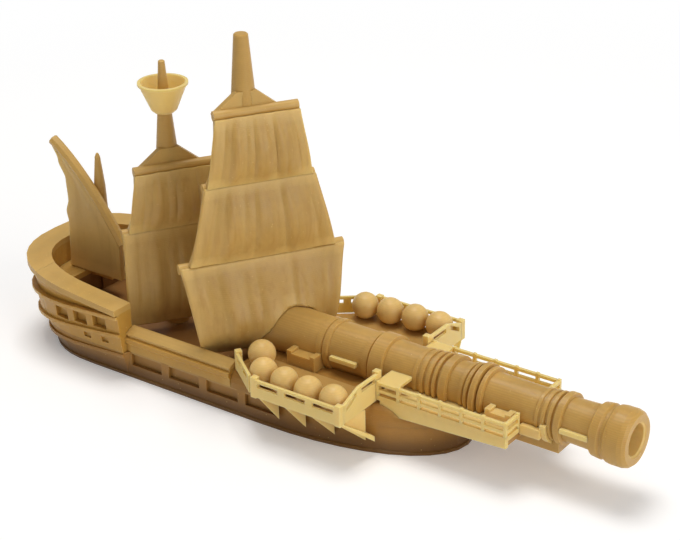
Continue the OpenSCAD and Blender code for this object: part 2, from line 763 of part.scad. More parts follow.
// Room for the barrel, that much wider all round and at the breech
module barrel_room(gap) {
    turned_on_barrel_axis(concat(
        [[breech_x - gap, 0]],
        [[breech_x - gap, barrel_skin[0][1] + gap]],
        [for (p = barrel_skin) [p[0], p[1] + gap]],
        [[muzzle_x + gap, 0]]));
}
module cannon_barrel() {
    lip = 0.25;
    color(barrel_colour)
        turned_on_barrel_axis(concat(
            [[breech_x, 0]],
            barrel_skin,
            [[muzzle_x, bore_r + lip], [muzzle_x - lip, bore_r],
             [muzzle_x - bore_depth, bore_r], [muzzle_x - bore_depth - bore_r / 2, 0]]));
}
// Pale lugs along both sides of the barrel
module barrel_lugs() {
    color(rail_colour)
        for (x = [station(23.5), station(84.2)])
            for (side = [-1, 1])
                difference() {
                    translate([
                        x,
                        side * (body_r(x) + lug_out / 2 - 0.5) - (lug_out + 1) / 2,
                        barrel_z - lug_h / 2])
                        cube([lug_l, lug_out + 1, lug_h]);
                    barrel_room(fit_gap);
                }
}
// Chock with raised ends, standing beside the barrel
module chock(x, z, l, h, w) {
    difference() {
        translate([x, -breech_r - w, z])
            cube([l, w + 0.6, h]);
        translate([x + 0.7, -far, z + h - 0.35])
            cube([l - 1.4, 2 * far, far]);
        barrel_room(fit_gap);
    }
}
module cradle_chocks_aft() {
    color(deck_colour) {
        chock(chock_aft_x, forecastle_z, chock_aft_l, chock_aft_h, chock_aft_w);
        port_of()
            chock(chock_aft_x, forecastle_z, chock_aft_l, chock_aft_h, chock_aft_w);
    }
}
module cradle_chocks_fore() {
    x = walkway_fore_x - 0.8 - chock_fore_l;
    color(deck_colour) {
        chock(x, walkway_z, chock_fore_l, chock_fore_h, chock_fore_w);
        port_of()
            chock(x, walkway_z, chock_fore_l, chock_fore_h, chock_fore_w);
    }
}

// Forecastle block with a rounded shoulder, cut for the barrel, the cheeks and the beam
module forecastle_block() {
    steps = [[0, 0], [0.3, 0.05], [0.58, 0.2], [0.8, 0.45], [0.93, 0.72], [1, 1]];
    loft([for (s = steps)
        ring(forecastle_plan(shoulder_round * s[1]), hull_h + (forecastle_z - hull_h) * s[0])]);
}
module forecastle() {
    color(hull_colour)
        difference() {
            forecastle_block();
            barrel_room(fit_gap);
            translate([0, walkway_half_w + fit_gap, 0])
                side_plate(
                    [[bed_aft_x - fit_gap, bed_under(bed_aft_x) - fit_gap],
                     [far, bed_under(far) - fit_gap], [far, far], [bed_aft_x - fit_gap, far]],
                    0,
                    2 * (walkway_half_w + fit_gap));
            translate([beam_aft_x - fit_gap, -beam_half_w - fit_gap, beam_z - fit_gap])
                cube([far, 2 * (beam_half_w + fit_gap), far]);
        }
}

// Cheeks on both sides of the barrel, their underside rising toward the fore end
function bed_under(x) = bed_under_z + (x - bed_aft_x) * bed_slope;
module bow_cheek() {
    color(hull_colour)
        difference() {
            side_plate(
                [[bed_aft_x, bed_under(bed_aft_x)], [bed_fore_x, bed_under(bed_fore_x)],
                 [bed_fore_x, bed_z], [bed_aft_x, bed_z]],
                beam_half_w + fit_gap,
                bed_half_w);
            barrel_room(fit_gap);
        }
}
// Beam under the barrel, from inside the forecastle to the strap
module bow_beam() {
    color(hull_colour)
        difference() {
            translate([beam_aft_x, -beam_half_w, beam_z])
                cube([beam_fore_x - beam_aft_x, 2 * beam_half_w, barrel_z - neck_r - beam_z]);
            barrel_room(fit_gap);
        }
}
// Straps that hold the barrel down on the beam, each with a plate back to the walkway
module barrel_straps() {
    x = beam_fore_x - 1.6;
    strap_r = body_r(x) + 0.28 + strap_t;
    color(rail_colour)
        difference() {
            union() {
                translate([x, 0, barrel_z])
                    rotate([0, 90, 0])
                        cylinder(r = strap_r, h = strap_w);
                translate([walkway_fore_x + fit_gap, -strap_r, barrel_z - 1.9])
                    cube([x - walkway_fore_x, 2 * strap_r, 1.2]);
            }
            barrel_room(fit_gap);
            translate([0, -far / 2, barrel_z])
                cube([far, far, far]);
            translate([0, -beam_half_w - fit_gap, 0])
                cube([far, 2 * (beam_half_w + fit_gap), barrel_z]);
        }
}

// Ball gallery: floor, slotted rails on three sides, knees and cannonballs
gallery_l = gallery_fore_x - gallery_aft_x;
gallery_in_w = gallery_half_w - gallery_rail_t - fit_gap;
slant_run = gallery_aft_x - gallery_root_x;
slant_out = gallery_half_w - gallery_root_y;
slant_l = norm([slant_run, slant_out]);
slant_angle = -atan2(slant_out, slant_run);
module gallery_floor() {
    edge = gallery_post + fit_gap;
    in_w = gallery_half_w - edge;
    back_x = gallery_root_x + edge;
    color(deck_colour)
        translate([0, 0, forecastle_z])
            linear_extrude(gallery_floor_t)
                polygon([
                    [back_x, -gallery_inner_y],
                    [back_x, -gallery_root_y + edge / 2],
                    [gallery_aft_x + edge / 2, -in_w],
                    [gallery_fore_x - edge, -in_w],
                    [gallery_fore_x - edge, -gallery_inner_y]]);
}
// Slotted rail of a given length along X, its outer face on Y = 0
module slotted_rail(l, slots) {
    h = gallery_rail_z - gallery_skirt_z;
    slot_l = (l - slot_stay) / slots - slot_stay;
    difference() {
        cube([l, gallery_rail_t, h]);
        for (i = [0:slots - 1])
            translate([slot_stay + i * (slot_l + slot_stay), -1, h - top_bar_h - slot_h])
                cube([slot_l, 2 + gallery_rail_t, slot_h]);
    }
}
module corner_post(x, y) {
    translate([x, y, gallery_skirt_z - 0.15])
        cube([gallery_post, gallery_post, gallery_rail_z - gallery_skirt_z + 0.35]);
}
module gallery_aft_rail() {
    color(rail_colour)
        translate([gallery_root_x, -gallery_root_y, 0])
            rotate([0, 0, slant_angle]) {
                translate([0, 0, gallery_skirt_z])
                    slotted_rail(slant_l - gallery_post, 2);
                corner_post(0, 0);
            }
}
module gallery_side_rail() {
    color(rail_colour)
        translate([gallery_aft_x, -gallery_half_w, 0]) {
            translate([0, 0, gallery_skirt_z])
                slotted_rail(gallery_l, 3);
            corner_post(0, 0);
            corner_post(gallery_l - gallery_post, 0);
        }
}
// The fore rail climbs from the corner post toward the walkway
module gallery_fore_rail() {
    l = gallery_half_w - gallery_inner_y - gallery_post - fit_gap;
    low = gallery_rail_z - gallery_skirt_z;
    high = gallery_climb_z - gallery_skirt_z;
    climb_l = 0.4 * l;
    step_in = bow_breadth(gallery_fore_x - gallery_rail_t) + fit_gap - gallery_inner_y;
    step_up = max(0.01, forecastle_z + fit_gap - gallery_skirt_z);
    slot_low = low - top_bar_h - slot_h;
    slot_high = high - top_bar_h - slot_h;
    color(rail_colour)
        translate([gallery_fore_x, -gallery_inner_y - l, 0])
            rotate([0, 0, 90]) {
                translate([0, gallery_rail_t, gallery_skirt_z])
                    rotate([90, 0, 0])
                        linear_extrude(gallery_rail_t)
                            difference() {
                                polygon([[0, 0], [l - step_in, 0], [l - step_in, step_up], [l, step_up],
                                    [l, high], [climb_l, high], [0, low]]);
                                polygon([
                                    [slot_stay / 2, slot_low], [climb_l - slot_stay / 2, slot_high],
                                    [climb_l - slot_stay / 2, slot_high + slot_h],
                                    [slot_stay / 2, slot_low + slot_h]]);
                                translate([climb_l + slot_stay / 2, slot_high])
                                    square([l - climb_l - gallery_post - slot_stay, slot_h]);
                            }
                translate([l - gallery_post, 0, gallery_skirt_z + step_up])
                    cube([gallery_post, gallery_post, high - step_up + 0.2]);
            }
}
// Knees from the hull side out to the gallery's edge, and a thinner strut at the fore end
knee_tip_y = gallery_post + 2 * fit_gap;
function bow_breadth(x) =
    let (t = max(0, x - bow_shoulder_x) / bow_length)
        waist_half_breadth * pow(1 - pow(t, bow_fullness), 1 / bow_fullness);
module knee(x, tip_top_z, root_top_z) {
    drop = 0.3;
    tip = [x, knee_tip_y - gallery_half_w];
    root = [x + knee_lean, -bow_breadth(x + knee_lean) - knee_gap];
    reach = norm(root - tip);
    translate([tip[0], tip[1], 0])
        rotate([90, 0, atan2(root[1] - tip[1], root[0] - tip[0])])
            translate([0, 0, -knee_t / 2])
                linear_extrude(knee_t)
                    polygon([
                        [0, tip_top_z - drop], [reach, knee_root_z],
                        [reach, root_top_z], [0, tip_top_z]]);
}
module gallery_knees() {
    first_x = gallery_aft_x + 0.2;
    last_x = gallery_fore_x - 1.5;
    color(rail_colour) {
        for (i = [0:knee_count - 1])
            knee(first_x + (last_x - first_x) * i / (knee_count - 1), forecastle_z, forecastle_z);
        knee(
            gallery_fore_x - knee_t / 2 - fit_gap,
            min(forecastle_z, gallery_skirt_z - fit_gap),
            knee_root_z + strut_t);
    }
}
// Row of balls along the outer rail, with one more at the aft end to starboard
ball_y = gallery_in_w - ball_d / 2 - fit_gap;
ball_z = gallery_floor_z + ball_d / 2 + fit_gap;
ball_row_x = [for (share = [-0.011, 0.257, 0.535, 0.815]) gallery_aft_x + share * gallery_l];
ball_row_in = [for (share = [0.2, 0.06, 0, 0]) share * ball_d];
module ball_row() {
    for (i = [0:3])
        translate([ball_row_x[i], -ball_y + ball_row_in[i], ball_z])
            sphere(d = ball_d);
}
module cannonballs_starboard() {
    color(barrel_colour) {
        ball_row();
        translate([gallery_aft_x - 0.24 * gallery_l, -gallery_inner_y - 0.61 * ball_d, ball_z])
            sphere(d = ball_d);
    }
}
module cannonballs_port() {
    color(barrel_colour)
        port_of()
            ball_row();
}

// Walkway beside the barrel: plank and side board, with a light guard rail
walkway_aft_x = gallery_fore_x + fit_gap;
module walkway() {
    color(rail_colour)
        difference() {
            union() {
                translate([walkway_aft_x, -walkway_half_w, bed_z])
                    cube([walkway_fore_x - walkway_aft_x, walkway_half_w - neck_r, walkway_t]);
                side_plate(
                    [[bed_aft_x, bed_under(bed_aft_x)], [walkway_fore_x, bed_under(walkway_fore_x)],
                     [walkway_fore_x, bed_z + 0.1], [bed_aft_x, bed_z + 0.1]],
                    bed_half_w + fit_gap,
                    walkway_half_w);
            }
            barrel_room(fit_gap);
        }
}
module walkway_rail() {
    y = -walkway_half_w;
    l = walkway_fore_x - walkway_aft_x;
    step = (l - bar) / (post_count - 1);
    end_l = walkway_half_w - breech_r;
    mid_z = walkway_z + guard_h * 0.25;
    color(rail_colour)
        difference() {
            union() {
                for (i = [0:post_count - 1])
                    translate([walkway_aft_x + i * step, y, walkway_z])
                        cube([bar, bar, guard_h + post_up]);
                for (z = [mid_z, walkway_z + guard_h - bar]) {
                    translate([walkway_aft_x, y, z])
                        cube([l, bar, bar]);
                    translate([walkway_fore_x - bar, y, z])
                        cube([bar, end_l, bar]);
                }
                translate([walkway_fore_x - bar, y + end_l - bar, walkway_z])
                    cube([bar, bar, guard_h + post_up]);
                translate([walkway_aft_x, y, walkway_z + guard_h - bar])
                    cube([step_l, end_l + 0.5, bar]);
            }
            barrel_room(fit_gap);
        }
}

// Masts, turned from the peg to the top
module turned_mast(x, points) {
    translate([x, 0, 0])
        rotate_extrude()
            polygon(points);
}
function grown(points, gap) = [for (p = points) [p[0] > 0 ? p[0] + gap : 0, p[1]]];
fore_trunk_z = fore_upper_z + 1.6;
fore_skin = [
    [0, deck_z], [fore_r + 0.2, deck_z], [fore_r + 0.2, deck_z + mast_foot_h / 2],
    [fore_r, deck_z + mast_foot_h], [fore_r, fore_trunk_z], [0.9, fore_top_z - 0.15],
    [0.75, fore_top_z], [0, fore_top_z]];
main_neck_z = nest_z - nest_h - 0.4;
main_skin = [
    [0, deck_z], [main_r + 0.2, deck_z], [main_r + 0.2, deck_z + mast_foot_h / 2],
    [main_r, deck_z + mast_foot_h], [main_r, main_upper_z + 2.1], [0.95, main_neck_z],
    [0.42, main_top_z - 0.1], [0.3, main_top_z], [0, main_top_z]];
mizzen_skin = [
    [0, quarterdeck_z], [mizzen_r, quarterdeck_z], [mizzen_r, mizzen_top_z - 10],
    [mizzen_cross_r, mizzen_top_z - 4.5], [0.36, mizzen_top_z - 0.5],
    [0.16, mizzen_top_z], [0, mizzen_top_z]];
function with_peg(skin, r, depth) =
    concat([[0, skin[0][1] - depth], [r, skin[0][1] - depth]], [[r, skin[0][1]]],
        [for (i = [1:len(skin) - 1]) skin[i]]);
module fore_mast() {
    color(sail_colour)
        turned_mast(0, with_peg(fore_skin, peg_r, peg_depth));
}
module main_mast() {
    color(sail_colour)
        turned_mast(main_x, with_peg(main_skin, peg_r, peg_depth));
}
module mizzen_mast() {
    color(sail_colour)
        turned_mast(mizzen_x, with_peg(mizzen_skin, mizzen_peg_r, quarterdeck_t - 0.1));
}
module fore_mast_room() {
    turned_mast(0, grown(fore_skin, fit_gap));
}
module main_mast_room() {
    turned_mast(main_x, grown(main_skin, fit_gap));
}
// Crow's nest: open cup on the main mast
module crow_nest() {
    low_z = nest_z - nest_h;
    foot_r = 0.38 * nest_r;
    color(rail_colour)
        difference() {
            turned_mast(main_x, [
                [0, low_z], [foot_r, low_z], [foot_r + 0.45, low_z + 0.4], [nest_r - 0.2, nest_z - 0.4],
                [nest_r, nest_z - 0.3], [nest_r, nest_z], [nest_r - nest_wall, nest_z],
                [foot_r + 0.8 - nest_wall, low_z + 1], [0, low_z + 1]]);
            main_mast_room();
        }
}

// Square yard, braced round in front of its mast
module in_yard_frame(mast_x) {
    translate([mast_x + yard_fore, 0, 0])
        rotate([0, 0, -brace])
            children();
}
module spar(half_l, z, gap = 0) {
    translate([0, 0, z])
        rotate([90, 0, 0])
            cylinder(r = yard_r + gap, h = 2 * half_l, center = true);
}
module yard_knees(z) {
    rotate([90, 0, 90])
        translate([-yard_fore * sin(brace), 0, -gusset_back])
            linear_extrude(gusset_t)
                polygon([
                    [-gusset_half_w, z], [gusset_half_w, z],
                    [fore_r - 0.2, z + gusset_h], [0.2 - fore_r, z + gusset_h]]);
}
// Square sail hung from its yard: bellied, folded, narrower or wider at the foot
module sail(mast_r, head_l, foot_l, head_z, foot_z, belly, skew) {
    leech = 0.72;
    set_fore = mast_r + 2 * fit_gap - yard_fore * cos(brace) + sail_t;
    function half_l(v) = head_l + (foot_l - head_l) * v;
    function front(u, v) =
        set_fore
        + belly * (1 - leech * u * u) * sin(180 * pow(v, skew))
        + fold_depth * cos(180 * fold_count * u) * sin(90 * min(1, v * 2));
    function row(v) = let (z = head_z + (foot_z - head_z) * v) concat(
        [for (j = [0:sail_cols]) let (u = 2 * j / sail_cols - 1) [front(u, v), u * half_l(v), z]],
        [for (j = [sail_cols:-1:0])
            let (u = 2 * j / sail_cols - 1) [front(u, v) - sail_t, u * half_l(v), z]]);
    loft([for (k = [0:sail_rows]) row(1 - k / sail_rows)], strip = true);
}
module fore_yard(half_l, z, knees) {
    color(sail_colour)
        difference() {
            in_yard_frame(0) {
                spar(half_l, z);
                if (knees)
                    yard_knees(z);
            }
            fore_mast_room();
        }
}
module main_yard(half_l, z, knees) {
    color(sail_colour)
        difference() {
            in_yard_frame(main_x) {
                spar(half_l, z);
                if (knees)
                    yard_knees(z);
            }
            main_mast_room();
        }
}
// Sails lap the front of the yard above and of the yard below, and are cut round both
head_lap = 0.5;
foot_lap = 0.3;
upper_skew = 1.2;
course_skew = 1.5;
deck_foot_z = deck_z + mast_foot_h + fit_gap;
module hung_sail(mast_r, head_l, foot_l, yards_z, foot_z, belly, skew) {
    difference() {
        sail(mast_r, head_l, foot_l, yards_z[0] - head_lap, foot_z, belly, skew);
        for (z = yards_z)
            spar(far / 2, z, fit_gap);
    }
}
module fore_sail(head_l, foot_l, yard_z, next_yard_z) {
    color(sail_colour)
        in_yard_frame(0)
            hung_sail(
                fore_r, head_l, foot_l, [yard_z, next_yard_z], next_yard_z + foot_lap,
                sail_belly, upper_skew);
}
// The course straddles the barrel and the forecastle, so its foot is cut away there
module fore_course() {
    notch_r = breech_r + notch_clearance;
    forecastle_clear_z = gallery_floor_z + lift_clearance;
    color(sail_colour)
        difference() {
            in_yard_frame(0)
                hung_sail(
                    fore_r, fore_lower_l, course_foot_l, [fore_lower_z], deck_foot_z,
                    course_belly, course_skew);
            translate([breech_x - lift_clearance, 0, barrel_z])
                rotate([0, 90, 0])
                    cylinder(r = notch_r, h = far);
            translate([breech_x - lift_clearance, -notch_r, -far + barrel_z])
                cube([far, 2 * notch_r, far]);
            translate([forecastle_aft_x - lift_clearance, -far, forecastle_clear_z - far])
                cube([far, 2 * far, far]);
        }
}
module main_sail(head_l, foot_l, yards_z, foot_z) {
    color(sail_colour)
        in_yard_frame(main_x)
            hung_sail(main_r, head_l, foot_l, yards_z, foot_z, sail_belly, upper_skew);
}

// Lateen yard and sail on the starboard side of the mizzen mast, in the fore-and-aft plane
lateen_peak = [mizzen_x - 6.4, mizzen_top_z + 1.1];
lateen_bend = [mizzen_x - 1, mizzen_top_z - 2.4];
lateen_tack = [mizzen_x + 4.8, mizzen_top_z - 11.4];
lateen_steps = 10;
function lateen_at(t) =
    (1 - t) * (1 - t) * lateen_peak + 2 * t * (1 - t) * lateen_bend + t * t * lateen_tack;
function lateen_run(t) =
    let (d = (1 - t) * (lateen_bend - lateen_peak) + t * (lateen_tack - lateen_bend)) d / norm(d);
module lateen_yard() {
    color(sail_colour)
        loft([for (k = [lateen_steps:-1:0])
            let (t = k / lateen_steps, c = lateen_at(t), d = lateen_run(t))
                [for (i = [0:7])
                    let (side = lateen_r * cos(45 * i), up = -lateen_r * sin(45 * i))
                        [c[0] - up * d[1], lateen_y + side, c[1] + up * d[0]]]]);
}
module lateen_sail() {
    drop = lateen_r + fit_gap;
    luff = [for (k = [0:lateen_steps])
        let (t = k / lateen_steps, d = lateen_run(t)) lateen_at(t) + drop * [d[1], -d[0]]];
    foot_z = quarterdeck_z + lift_clearance / 2;
    color(sail_colour)
        translate([0, lateen_y + lateen_t / 2, 0])
            rotate([90, 0, 0])
                linear_extrude(lateen_t)
                    polygon(concat(
                        luff,
                        [[lateen_tack[0] - 0.4, foot_z], [mizzen_x - 4.7, foot_z],
                         [mizzen_x - 4.4, mizzen_top_z - 10.1], [mizzen_x - 4.7, mizzen_top_z - 8.7],
                         [mizzen_x - 4.1, mizzen_top_z - 6.9], [mizzen_x - 4.2, mizzen_top_z - 4]]));
}

hull();
main_deck();
forecastle();
port_of() bow_cheek();  // bow_cheek_port
bow_cheek();  // bow_cheek_starboard
bow_beam();
barrel_straps();
cannon_barrel();
barrel_lugs();
cradle_chocks_aft();
cradle_chocks_fore();
port_of() castle_side();  // castle_side_port
castle_side();  // castle_side_starboard
castle_transom();
cabin_bulkhead();
quarterdeck();
port_of() stern_rail_side();  // stern_rail_port
stern_rail_side();  // stern_rail_starboard
stern_rail_aft();
port_of() bulwark();  // bulwark_port
bulwark();  // bulwark_starboard
port_of() cap_rail();  // cap_rail_port
cap_rail();  // cap_rail_starboard
port_of() gallery_floor();  // gallery_floor_port
gallery_floor();  // gallery_floor_starboard
port_of() gallery_aft_rail();  // gallery_aft_rail_port
gallery_aft_rail();  // gallery_aft_rail_starboard
port_of() gallery_side_rail();  // gallery_side_rail_port
gallery_side_rail();  // gallery_side_rail_starboard
port_of() gallery_fore_rail();  // gallery_fore_rail_port
gallery_fore_rail();  // gallery_fore_rail_starboard
port_of() gallery_knees();  // gallery_knees_port
gallery_knees();  // gallery_knees_starboard
cannonballs_port();
cannonballs_starboard();
port_of() walkway();  // walkway_port
walkway();  // walkway_starboard
port_of() walkway_rail();  // walkway_rail_port
walkway_rail();  // walkway_rail_starboard
fore_mast();
fore_yard(fore_upper_l, fore_upper_z, true);  // fore_topgallant_yard
fore_yard(fore_middle_l, fore_middle_z, false);  // fore_topsail_yard
fore_yard(fore_lower_l, fore_lower_z, false);  // fore_course_yard
fore_sail(fore_upper_l, fore_middle_l - 0.4, fore_upper_z, fore_middle_z);  // fore_topgallant
fore_sail(fore_middle_l, fore_lower_l - 1.2, fore_middle_z, fore_lower_z);  // fore_topsail
fore_course();
main_mast();
crow_nest();
main_yard(main_upper_l, main_upper_z, true);  // main_topsail_yard
main_yard(main_lower_l, main_lower_z, false);  // main_course_yard
main_sail(  // main_topsail
        main_upper_l, main_lower_l - 0.8, [main_upper_z, main_lower_z], main_lower_z + foot_lap);
main_sail(main_lower_l, main_lower_l + 0.2, [main_lower_z], deck_foot_z);  // main_course
mizzen_mast();
lateen_yard();
lateen_sail();
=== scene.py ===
"""Looks of a sailing-ship game token with a great gun for a bow, cast in amber resin.

Every piece is in metres in the part's own frame: +X is the bow, +Y is port, +Z is up.
"""

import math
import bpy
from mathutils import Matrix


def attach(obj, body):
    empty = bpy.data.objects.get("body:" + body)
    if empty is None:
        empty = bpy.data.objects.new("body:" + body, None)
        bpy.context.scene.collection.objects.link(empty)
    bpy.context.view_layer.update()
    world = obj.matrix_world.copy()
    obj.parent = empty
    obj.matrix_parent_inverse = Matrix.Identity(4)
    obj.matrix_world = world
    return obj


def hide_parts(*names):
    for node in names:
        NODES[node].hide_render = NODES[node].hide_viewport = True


bl_info = {
    "name": "Gun-bowed ship token",
    "version": (1, 0, 0),
    "blender": (4, 5, 0),
    "location": "View3D > Sidebar > Token",
    "description": "Dresses the ship token in translucent resin and sets it on a pale floor",
    "category": "Object",
}

import bmesh
import bpy
from bpy.props import FloatProperty, FloatVectorProperty, IntProperty, PointerProperty
from mathutils import Matrix, Vector

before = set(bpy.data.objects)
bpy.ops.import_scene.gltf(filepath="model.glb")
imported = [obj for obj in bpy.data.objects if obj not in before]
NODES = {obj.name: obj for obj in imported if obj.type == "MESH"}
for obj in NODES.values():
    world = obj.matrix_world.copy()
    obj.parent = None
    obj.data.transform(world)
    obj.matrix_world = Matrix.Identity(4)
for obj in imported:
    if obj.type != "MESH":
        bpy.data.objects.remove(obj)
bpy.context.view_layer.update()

MM = 0.001
FORE = "fore_rig"
MAIN = "main_rig"
MIZZEN = "mizzen_rig"
SIDES = ("port", "starboard")
WHITE = (1.0, 1.0, 1.0, 1.0)

# Axis of the barrel over the base, in millimetres
BARREL_Z = 8.0


def both(*names):
    """Node names of pieces that stand once on each side."""
    return [f"{name}_{side}" for name in names for side in SIDES]


# Settings

def colour_property(name, description, default):
    return FloatVectorProperty(
        name=name, description=description, default=default, size=3, min=0.0, max=1.0, subtype="COLOR")


def length_property(name, description, millimetres):
    return FloatProperty(
        name=name, description=description, default=millimetres * MM, min=0.0, unit="LENGTH", precision=5)


class TokenResin(bpy.types.PropertyGroup):
    """Colours and surface of the resin, with colours for painted light and shade."""

    hull_colour: colour_property("Hull", "Thick resin of the hull and the bow", (0.41, 0.205, 0.042))
    castle_colour: colour_property("Castle", "Resin of the castle and the bulwarks", (0.55, 0.3, 0.056))
    # Deck resin darkened as painted shade for the deep inside of the waist
    deck_colour: colour_property("Deck", "Resin of the deck and the bulkhead", (0.27, 0.125, 0.034))
    sail_colour: colour_property("Sails", "Resin of the sails", (0.55, 0.338, 0.098))
    barrel_colour: colour_property(
        "Barrel", "Resin of the barrel, the masts and the wide rails", (0.58, 0.345, 0.092))
    ball_colour: colour_property("Balls", "Resin of the balls, fore chocks and straps", (0.78, 0.53, 0.19))
    thin_colour: colour_property(
        "Galleries", "Thin pale resin of the galleries and walkways", (0.82, 0.575, 0.195))
    # Painted light: pale colour for light through thin edges and in the bore, also used for the specks
    light_and_speck_colour: colour_property("Thin edges", "Resin where light comes through an edge", (0.9, 0.66, 0.25))
    # Painted shade: colour mixed in where the hollow and foot tints paint shade
    painted_shade_colour: colour_property("Hollows", "Resin in deep hollows", (0.15, 0.062, 0.017))
    layer_pitch: length_property("Layer pitch", "Distance between the faint print layers", 0.22)
    roughness: FloatProperty(
        name="Roughness", description="Roughness of the satin surface", default=0.37, min=0.0, max=1.0,
        subtype="FACTOR")
    glow_depth: length_property("Glow depth", "How far light spreads inside the resin", 0.8)
    edge_round: length_property("Edge rounding", "Rounding of the cast edges", 0.16)


class TokenSails(bpy.types.PropertyGroup):
    """Shape of the cast sails, which follow the sails of the frame."""

    thickness: length_property("Sail thickness", "Thickness of the square sails", 1.0)
    lateen_thickness: length_property("Lateen thickness", "Thickness of the lateen sail", 0.8)
    brace: FloatProperty(
        name="Brace", description="Angle that the yards are braced round", default=math.radians(33.5),
        subtype="ANGLE")
    yard_fore: length_property("Yard offset", "Distance of the yards forward of their mast", 1.8)
    course_belly: length_property("Course belly", "Belly of the fore course", 3.7)
    belly: length_property("Belly", "Belly of the other square sails", 1.5)
    fold_depth: length_property("Fold depth", "Depth of the folds", 0.16)
    edge_round: length_property("Sail edge rounding", "Rounding of the sails' edges", 0.28)
    columns: IntProperty(name="Columns", description="Columns of a square sail's mesh", default=56, min=8)
    rows: IntProperty(name="Rows", description="Rows of a square sail's mesh", default=36, min=6)


class TokenStage(bpy.types.PropertyGroup):
    """Camera, light and floor."""

    target: FloatVectorProperty(
        name="Target", description="Point the camera looks at", default=(0.01393, 0.0, 0.01829), size=3,
        subtype="TRANSLATION", unit="LENGTH")
    distance: length_property("Distance", "Distance of the camera from its target", 221.8)
    azimuth: FloatProperty(
        name="Azimuth", description="Camera angle round the token", default=math.radians(36.41),
        subtype="ANGLE")
    elevation: FloatProperty(
        name="Elevation", description="Camera angle over the floor", default=math.radians(25.58),
        subtype="ANGLE")
    roll: FloatProperty(
        name="Roll", description="Camera roll", default=math.radians(-1.22), subtype="ANGLE")
    lens: FloatProperty(name="Lens", description="Focal length in millimetres", default=96.95, min=1.0)
    key_power: FloatProperty(
        name="Key light", description="Power of the soft light overhead", default=1.05, min=0.0,
        unit="POWER")
    fill_power: FloatProperty(
        name="Fill light", description="Power of the soft light at the front", default=1.3, min=0.0,
        unit="POWER")
    sky_level: FloatProperty(
        name="Sky", description="Level of the even light from all round", default=0.33, min=0.0)
    floor_colour: colour_property("Floor", "Colour of the floor", (0.93, 0.92, 0.91))


def resin_settings():
    return bpy.context.scene.token_resin


def sail_settings():
    return bpy.context.scene.token_sails


def stage_settings():
    return bpy.context.scene.token_stage


# Resin finishes

class Tree:
    """Short way to write a node tree."""

    def __init__(self, tree):
        self.tree = tree
        tree.nodes.clear()

    def add(self, kind, inputs=None, **settings):
        made = self.tree.nodes.new(kind)
        for key, value in settings.items():
            setattr(made, key, value)
        for key, value in (inputs or {}).items():
            self.feed(made.inputs[key], value)
        return made

    def feed(self, socket, value):
        if isinstance(value, bpy.types.NodeSocket):
            self.tree.links.new(value, socket)
        else:
            socket.default_value = value

    def math(self, operation, first, second):
        return self.add("ShaderNodeMath", {0: first, 1: second}, operation=operation).outputs[0]

    def mix(self, share, first, second):
        return self.add("ShaderNodeMix", {0: share, 6: first, 7: second}, data_type="RGBA").outputs[2]

    def span(self, value, low, high, to_low=0.0, to_high=1.0):
        """Eased step of a value between two limits."""
        inputs = dict(enumerate((value, low, high, to_low, to_high)))
        return self.add("ShaderNodeMapRange", inputs, interpolation_type="SMOOTHSTEP").outputs[0]

    def noise(self, vector, scale, detail):
        made = self.add("ShaderNodeTexNoise", {"Vector": vector, "Scale": scale, "Detail": detail})
        return made.outputs["Fac"]


def scaled(colour, factor=1.0):
    """Colour with its alpha, made darker or lighter."""
    return (colour[0] * factor, colour[1] * factor, colour[2] * factor, 1.0)


class Grain:
    """Fixed numbers of the resin's texture, and of the light and shade painted into it.

    Lengths are in millimetres, a noise is its scale and detail, and a range is where a mask is 0 and where
    it is 1.
    """

    cloud_noise = (0.16, 3.0)
    mottle_noise = (1.4, 4.0)
    cloud_share = 0.7
    tone_range = (0.34, 0.66)
    tone_dark = 0.93
    tone_light = 1.06

    # A wave texture of scale 1 has this many bands in one unit of length
    bands_per_unit = 3.18
    band_wobble = {"Distortion": 0.7, "Detail": 1.5, "Detail Scale": 0.35}
    layer_dark = 0.55
    layer_relief = 0.5

    streak_stretch = (1.0, 1.0, 0.07)
    streak_noise = (1.5, 5.0)
    streak_range = (0.48, 0.68)
    streak_dark = 0.8
    streak_green = 0.9
    streak_blue = 0.75

    # Painted light through thin edges and painted shade in hollows, both from ambient occlusion
    shade_samples = 12
    thin_reach = 1.6
    thin_range = (0.4, 0.06)
    hollow_reach = 6.0
    hollow_range = (0.62, 0.12)

    # Painted light in the bore: squared distances from its axis and stations where it fades in
    bore_square_range = (5.0, 3.9)
    bore_x_range = (20.0, 21.0)
    # Painted shade near the floor: the heights it fades over and how dark it gets
    foot_z_range = (3.2, 0.6)
    floor_shade_dark = 0.6

    speck_scale = 1.1
    speck_range = (0.08, 0.04)
    speck_share = 0.55

    bump_noise = (5.0, 3.0)
    bump_strength = 0.22
    bump_depth = 0.05
    rough_range = (0.3, 0.7)
    rough_less = 0.06
    rough_more = 0.08

    glow_radius = (1.0, 0.9, 0.72)
    refraction = 1.5
    sheen = 0.3


def streak_tone(colour):
    """Darker and redder tone of a colour."""
    red, green, blue = (value * Grain.streak_dark for value in colour)
    return (red, green * Grain.streak_green, blue * Grain.streak_blue, 1.0)


